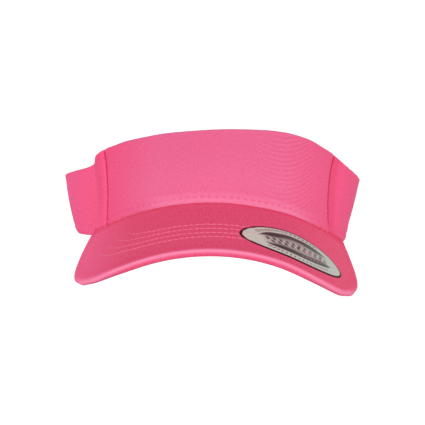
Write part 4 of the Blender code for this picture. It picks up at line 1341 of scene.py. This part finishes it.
def build_closure():
    cloth_ends = (STRAP_ROOT_X + 1.0, STRAP_TIP_X)
    # hook strap, from the +X arm
    rows = (HOOK_TAPE_X[0] - 1.5, HOOK_TAPE_X[1] + 2.5)
    ob = strap("hook_strap_cloth", cloth_ends, 0.0, STRAP_T, M_SIDE, 1,
               relief=rectangle_groove(*rows))
    fit(ob, "side_twill", "hook_strap", body="hook_strap")
    ob = strap("hook_tape_base", HOOK_TAPE_X, STRAP_T + 0.15, 0.45, M_HOOK, 1, inset=1.5)
    fit(ob, "hook", "hook_tape", body="hook_strap")
    tape_rows("hook_tape_stitches", *rows, depth=0.22, side=1, body="hook_strap",
              replaced="hook_tape_stitching")
    # loop tab, from the -X arm, inside the hook strap
    ob = strap("loop_tab_cloth", cloth_ends, DIVE, STRAP_T, M_SIDE, -1)
    fit(ob, "side_twill", "loop_tab", body="right_arm")
    ob = strap("loop_tape_pile", LOOP_TAPE_X, DIVE - 1.0, 0.9, M_LOOP, -1, inset=1.5)
    fit(ob, "loop", "loop_tape", body="right_arm")
    tape_rows("loop_tape_stitches", STRAP_ROOT_X - 4.0, LOOP_TAPE_X[1] + 2.5,
              depth=DIVE + STRAP_T - 0.02, side=-1, body="right_arm",
              replaced="loop_tape_stitching", out=-1.0)


# ---------------------------------------------------------------- sticker and care label
def build_sticker():
    """Oval film on the brim, built as rings round its centre."""
    thick = 0.16
    angle = np.linspace(0, TAU, 181)[:-1, None]
    ring = np.r_[0.02, np.linspace(0.08, 0.985, 26), 1.0]
    u = ring * np.cos(angle)
    v = ring * np.sin(angle)
    # stuck on over the curve, it tapers towards one end and bows a little
    across = STICKER_B * (v * (1 - STICKER_TAPER * u) + STICKER_BOW * (u * u - 0.5))
    along = STICKER_A * u
    cos, sin = math.cos(STICKER_TILT), math.sin(STICKER_TILT)
    x, y = roll_up(STICKER_AT[0] + along * cos - across * sin,
                   STICKER_AT[1] + along * sin + across * cos)
    height = TOP_H + 0.34 + 0.45 * brim_relief(x, y) - 0.16 * ease(ring, 0.9, 0.1)
    top = brim_point(x, y, height)
    bottom = brim_point(x, y, height - thick)
    points = np.concatenate([top, bottom[:, ::-1]], 1)
    index = np.arange(points[..., 0].size).reshape(points.shape[:2])
    half = len(index) // 2
    # the small holes in the middle of both faces
    top_cap, bottom_cap = (patch(np.stack([hole[:half], hole[half:][::-1]], 1))
                           for hole in (index[:, 0], index[:, -1]))
    quads = np.vstack([patch(np.vstack([index, index[:1]])), top_cap, bottom_cap[:, ::-1]])
    uv = np.stack([u, v], -1)
    ob = make_mesh("brim_sticker_film", points, quads, np.concatenate([uv, uv[:, ::-1]], 1),
                   M_STICKER)
    fit(ob, "sticker", "brim_sticker")


def build_label():
    """Care label inside the +X arm, curling away from the sweatband at its foot."""
    wide, tall = 22.0, 17.0
    middle = S_WIDE + 30.0
    z_high = min(SWEAT_H, float(top_line(middle + wide / 2)) - 3.0) - 1.0
    across = np.linspace(middle - wide / 2, middle + wide / 2, 40)
    s, z = np.meshgrid(across, np.linspace(z_high - tall, z_high, 32), indexing="ij")
    curl = 0.9 * ((z_high - z) / tall)**2 + 0.25 * np.sin((s - across[0]) / wide * math.pi)
    depth = D_SWEAT + SWEAT_T + SWEAT_PAD + 0.45 + curl
    height = z - z_bottom(s)
    ob = shell("care_label_cloth", band(s, height, depth), band(s, height, depth + 0.22), M_LABEL)
    fit(ob, "label", "care_label", body="care_label")


build_panels()
build_linings()
build_sweatband()
build_upper_cover()
build_lower_cover()
build_board()
build_brim_stitches()
build_band_stitches()
build_closure()
build_sticker()
build_label()


# ---------------------------------------------------------------- floor, lights, world (metres)
def add_floor():
    half = 6.0
    z = -0.0016
    mesh = bpy.data.meshes.new("floor")
    mesh.from_pydata([(-half, -half, z), (half, -half, z), (half, half, z), (-half, half, z)],
                     [], [(0, 1, 2, 3)])
    m = Nodes("floor_pale")
    cloud = m.noise(m.object_place(), scale=3.0, detail=2.0, rough=0.5)
    m.put(m.inputs["Base Color"], m.mix(cloud, (0.34, 0.34, 0.34), (0.35, 0.35, 0.35)))
    m.inputs["Roughness"].default_value = 0.95
    m.inputs["Specular IOR Level"].default_value = 0.0
    # a lit table: it glows a little, so shadows on it stay faint
    m.inputs["Emission Color"].default_value = (1, 1, 1, 1)
    seen = m.new("ShaderNodeLightPath").outputs["Is Camera Ray"]
    m.put(m.inputs["Emission Strength"], m.scaled(seen, 0.52, 0.34))
    mesh.materials.append(m.mat)
    ob = bpy.data.objects.new("floor", mesh)
    bpy.context.scene.collection.objects.link(ob)


def add_light(name, location, aim, size, power):
    lamp = bpy.data.lights.new(name, "AREA")
    lamp.shape = "RECTANGLE"
    lamp.size, lamp.size_y = size
    lamp.energy = power
    ob = bpy.data.objects.new(name, lamp)
    ob.location = location
    ob.rotation_mode = "QUATERNION"
    ob.rotation_quaternion = (Vector(aim) - Vector(location)).to_track_quat("-Z", "Y")
    bpy.context.scene.collection.objects.link(ob)


def add_world():
    """White behind the object; as a light it is a soft surround, strongest low down."""
    world = bpy.data.worlds.new("studio")
    bpy.context.scene.world = world
    world.use_nodes = True
    nodes, link = world.node_tree.nodes, world.node_tree.links.new
    background = nodes["Background"]
    background.inputs[0].default_value = (1.0, 1.0, 1.0, 1.0)
    path = nodes.new("ShaderNodeLightPath")
    coordinates = nodes.new("ShaderNodeTexCoord")
    split = nodes.new("ShaderNodeSeparateXYZ")
    link(coordinates.outputs["Generated"], split.inputs[0])
    glow = nodes.new("ShaderNodeMapRange")
    link(split.outputs[2], glow.inputs["Value"])
    for key, value in {"From Min": 0.12, "From Max": 0.75, "To Min": 1.05, "To Max": 0.22}.items():
        glow.inputs[key].default_value = value
    strength = nodes.new("ShaderNodeMath")
    strength.operation = "MAXIMUM"
    link(path.outputs["Is Camera Ray"], strength.inputs[0])
    link(glow.outputs["Result"], strength.inputs[1])
    link(strength.outputs[0], background.inputs[1])


add_floor()
add_light("key_front", location=(-0.12, -2.1, 0.62), aim=(0, 0, 0.04), size=(1.5, 1.1), power=18.0)
add_light("top_soft", location=(0.1, 0.2, 1.6), aim=(0, 0, 0), size=(1.6, 1.6), power=2.0)
add_light("side_left", location=(-1.6, -0.6, 0.45), aim=(0, 0, 0.04), size=(0.9, 0.9), power=3.6)
add_light("side_right", location=(1.6, -0.6, 0.45), aim=(0, 0, 0.04), size=(0.9, 0.9), power=4.2)
add_world()
view = bpy.context.scene.view_settings
view.view_transform = "Standard"
view.look = "None"
view.exposure = 0.16

# ---------------------------------------------------------------- camera
CAMERA_AIM = np.array([0.0, -20.0, 20.0])      # mm
CAMERA_DISTANCE = 1300.0                       # mm
CAMERA_YAW = -0.01870                          # radians, as are the next two
CAMERA_ELEVATION = 0.02672
CAMERA_ROLL = 0.01668
CAMERA_LENS = 180.90974                        # mm, on a 36 mm sensor
CAMERA_SHIFT = (-0.015694118, -0.022658824)    # shares of the sensor's width


def add_camera():
    back = np.array([-math.sin(CAMERA_YAW) * math.cos(CAMERA_ELEVATION),
                     -math.cos(CAMERA_YAW) * math.cos(CAMERA_ELEVATION),
                     math.sin(CAMERA_ELEVATION)])
    right = unit(np.cross(-back, [0, 0, 1.0]))
    up = np.cross(right, -back)
    cos, sin = math.cos(CAMERA_ROLL), math.sin(CAMERA_ROLL)
    camera = bpy.data.cameras.new("camera")
    camera.sensor_fit = "HORIZONTAL"
    camera.sensor_width = 36.0
    camera.lens = CAMERA_LENS
    camera.shift_x, camera.shift_y = CAMERA_SHIFT
    camera.clip_start, camera.clip_end = 0.05, 50.0
    ob = bpy.data.objects.new("camera", camera)
    matrix = np.eye(4)
    matrix[:3, 0] = cos * right + sin * up
    matrix[:3, 1] = -sin * right + cos * up
    matrix[:3, 2] = back
    matrix[:3, 3] = place(CAMERA_AIM + back * CAMERA_DISTANCE)
    ob.matrix_world = Matrix(matrix.tolist())
    bpy.context.scene.collection.objects.link(ob)
    bpy.context.scene.camera = ob


add_camera()
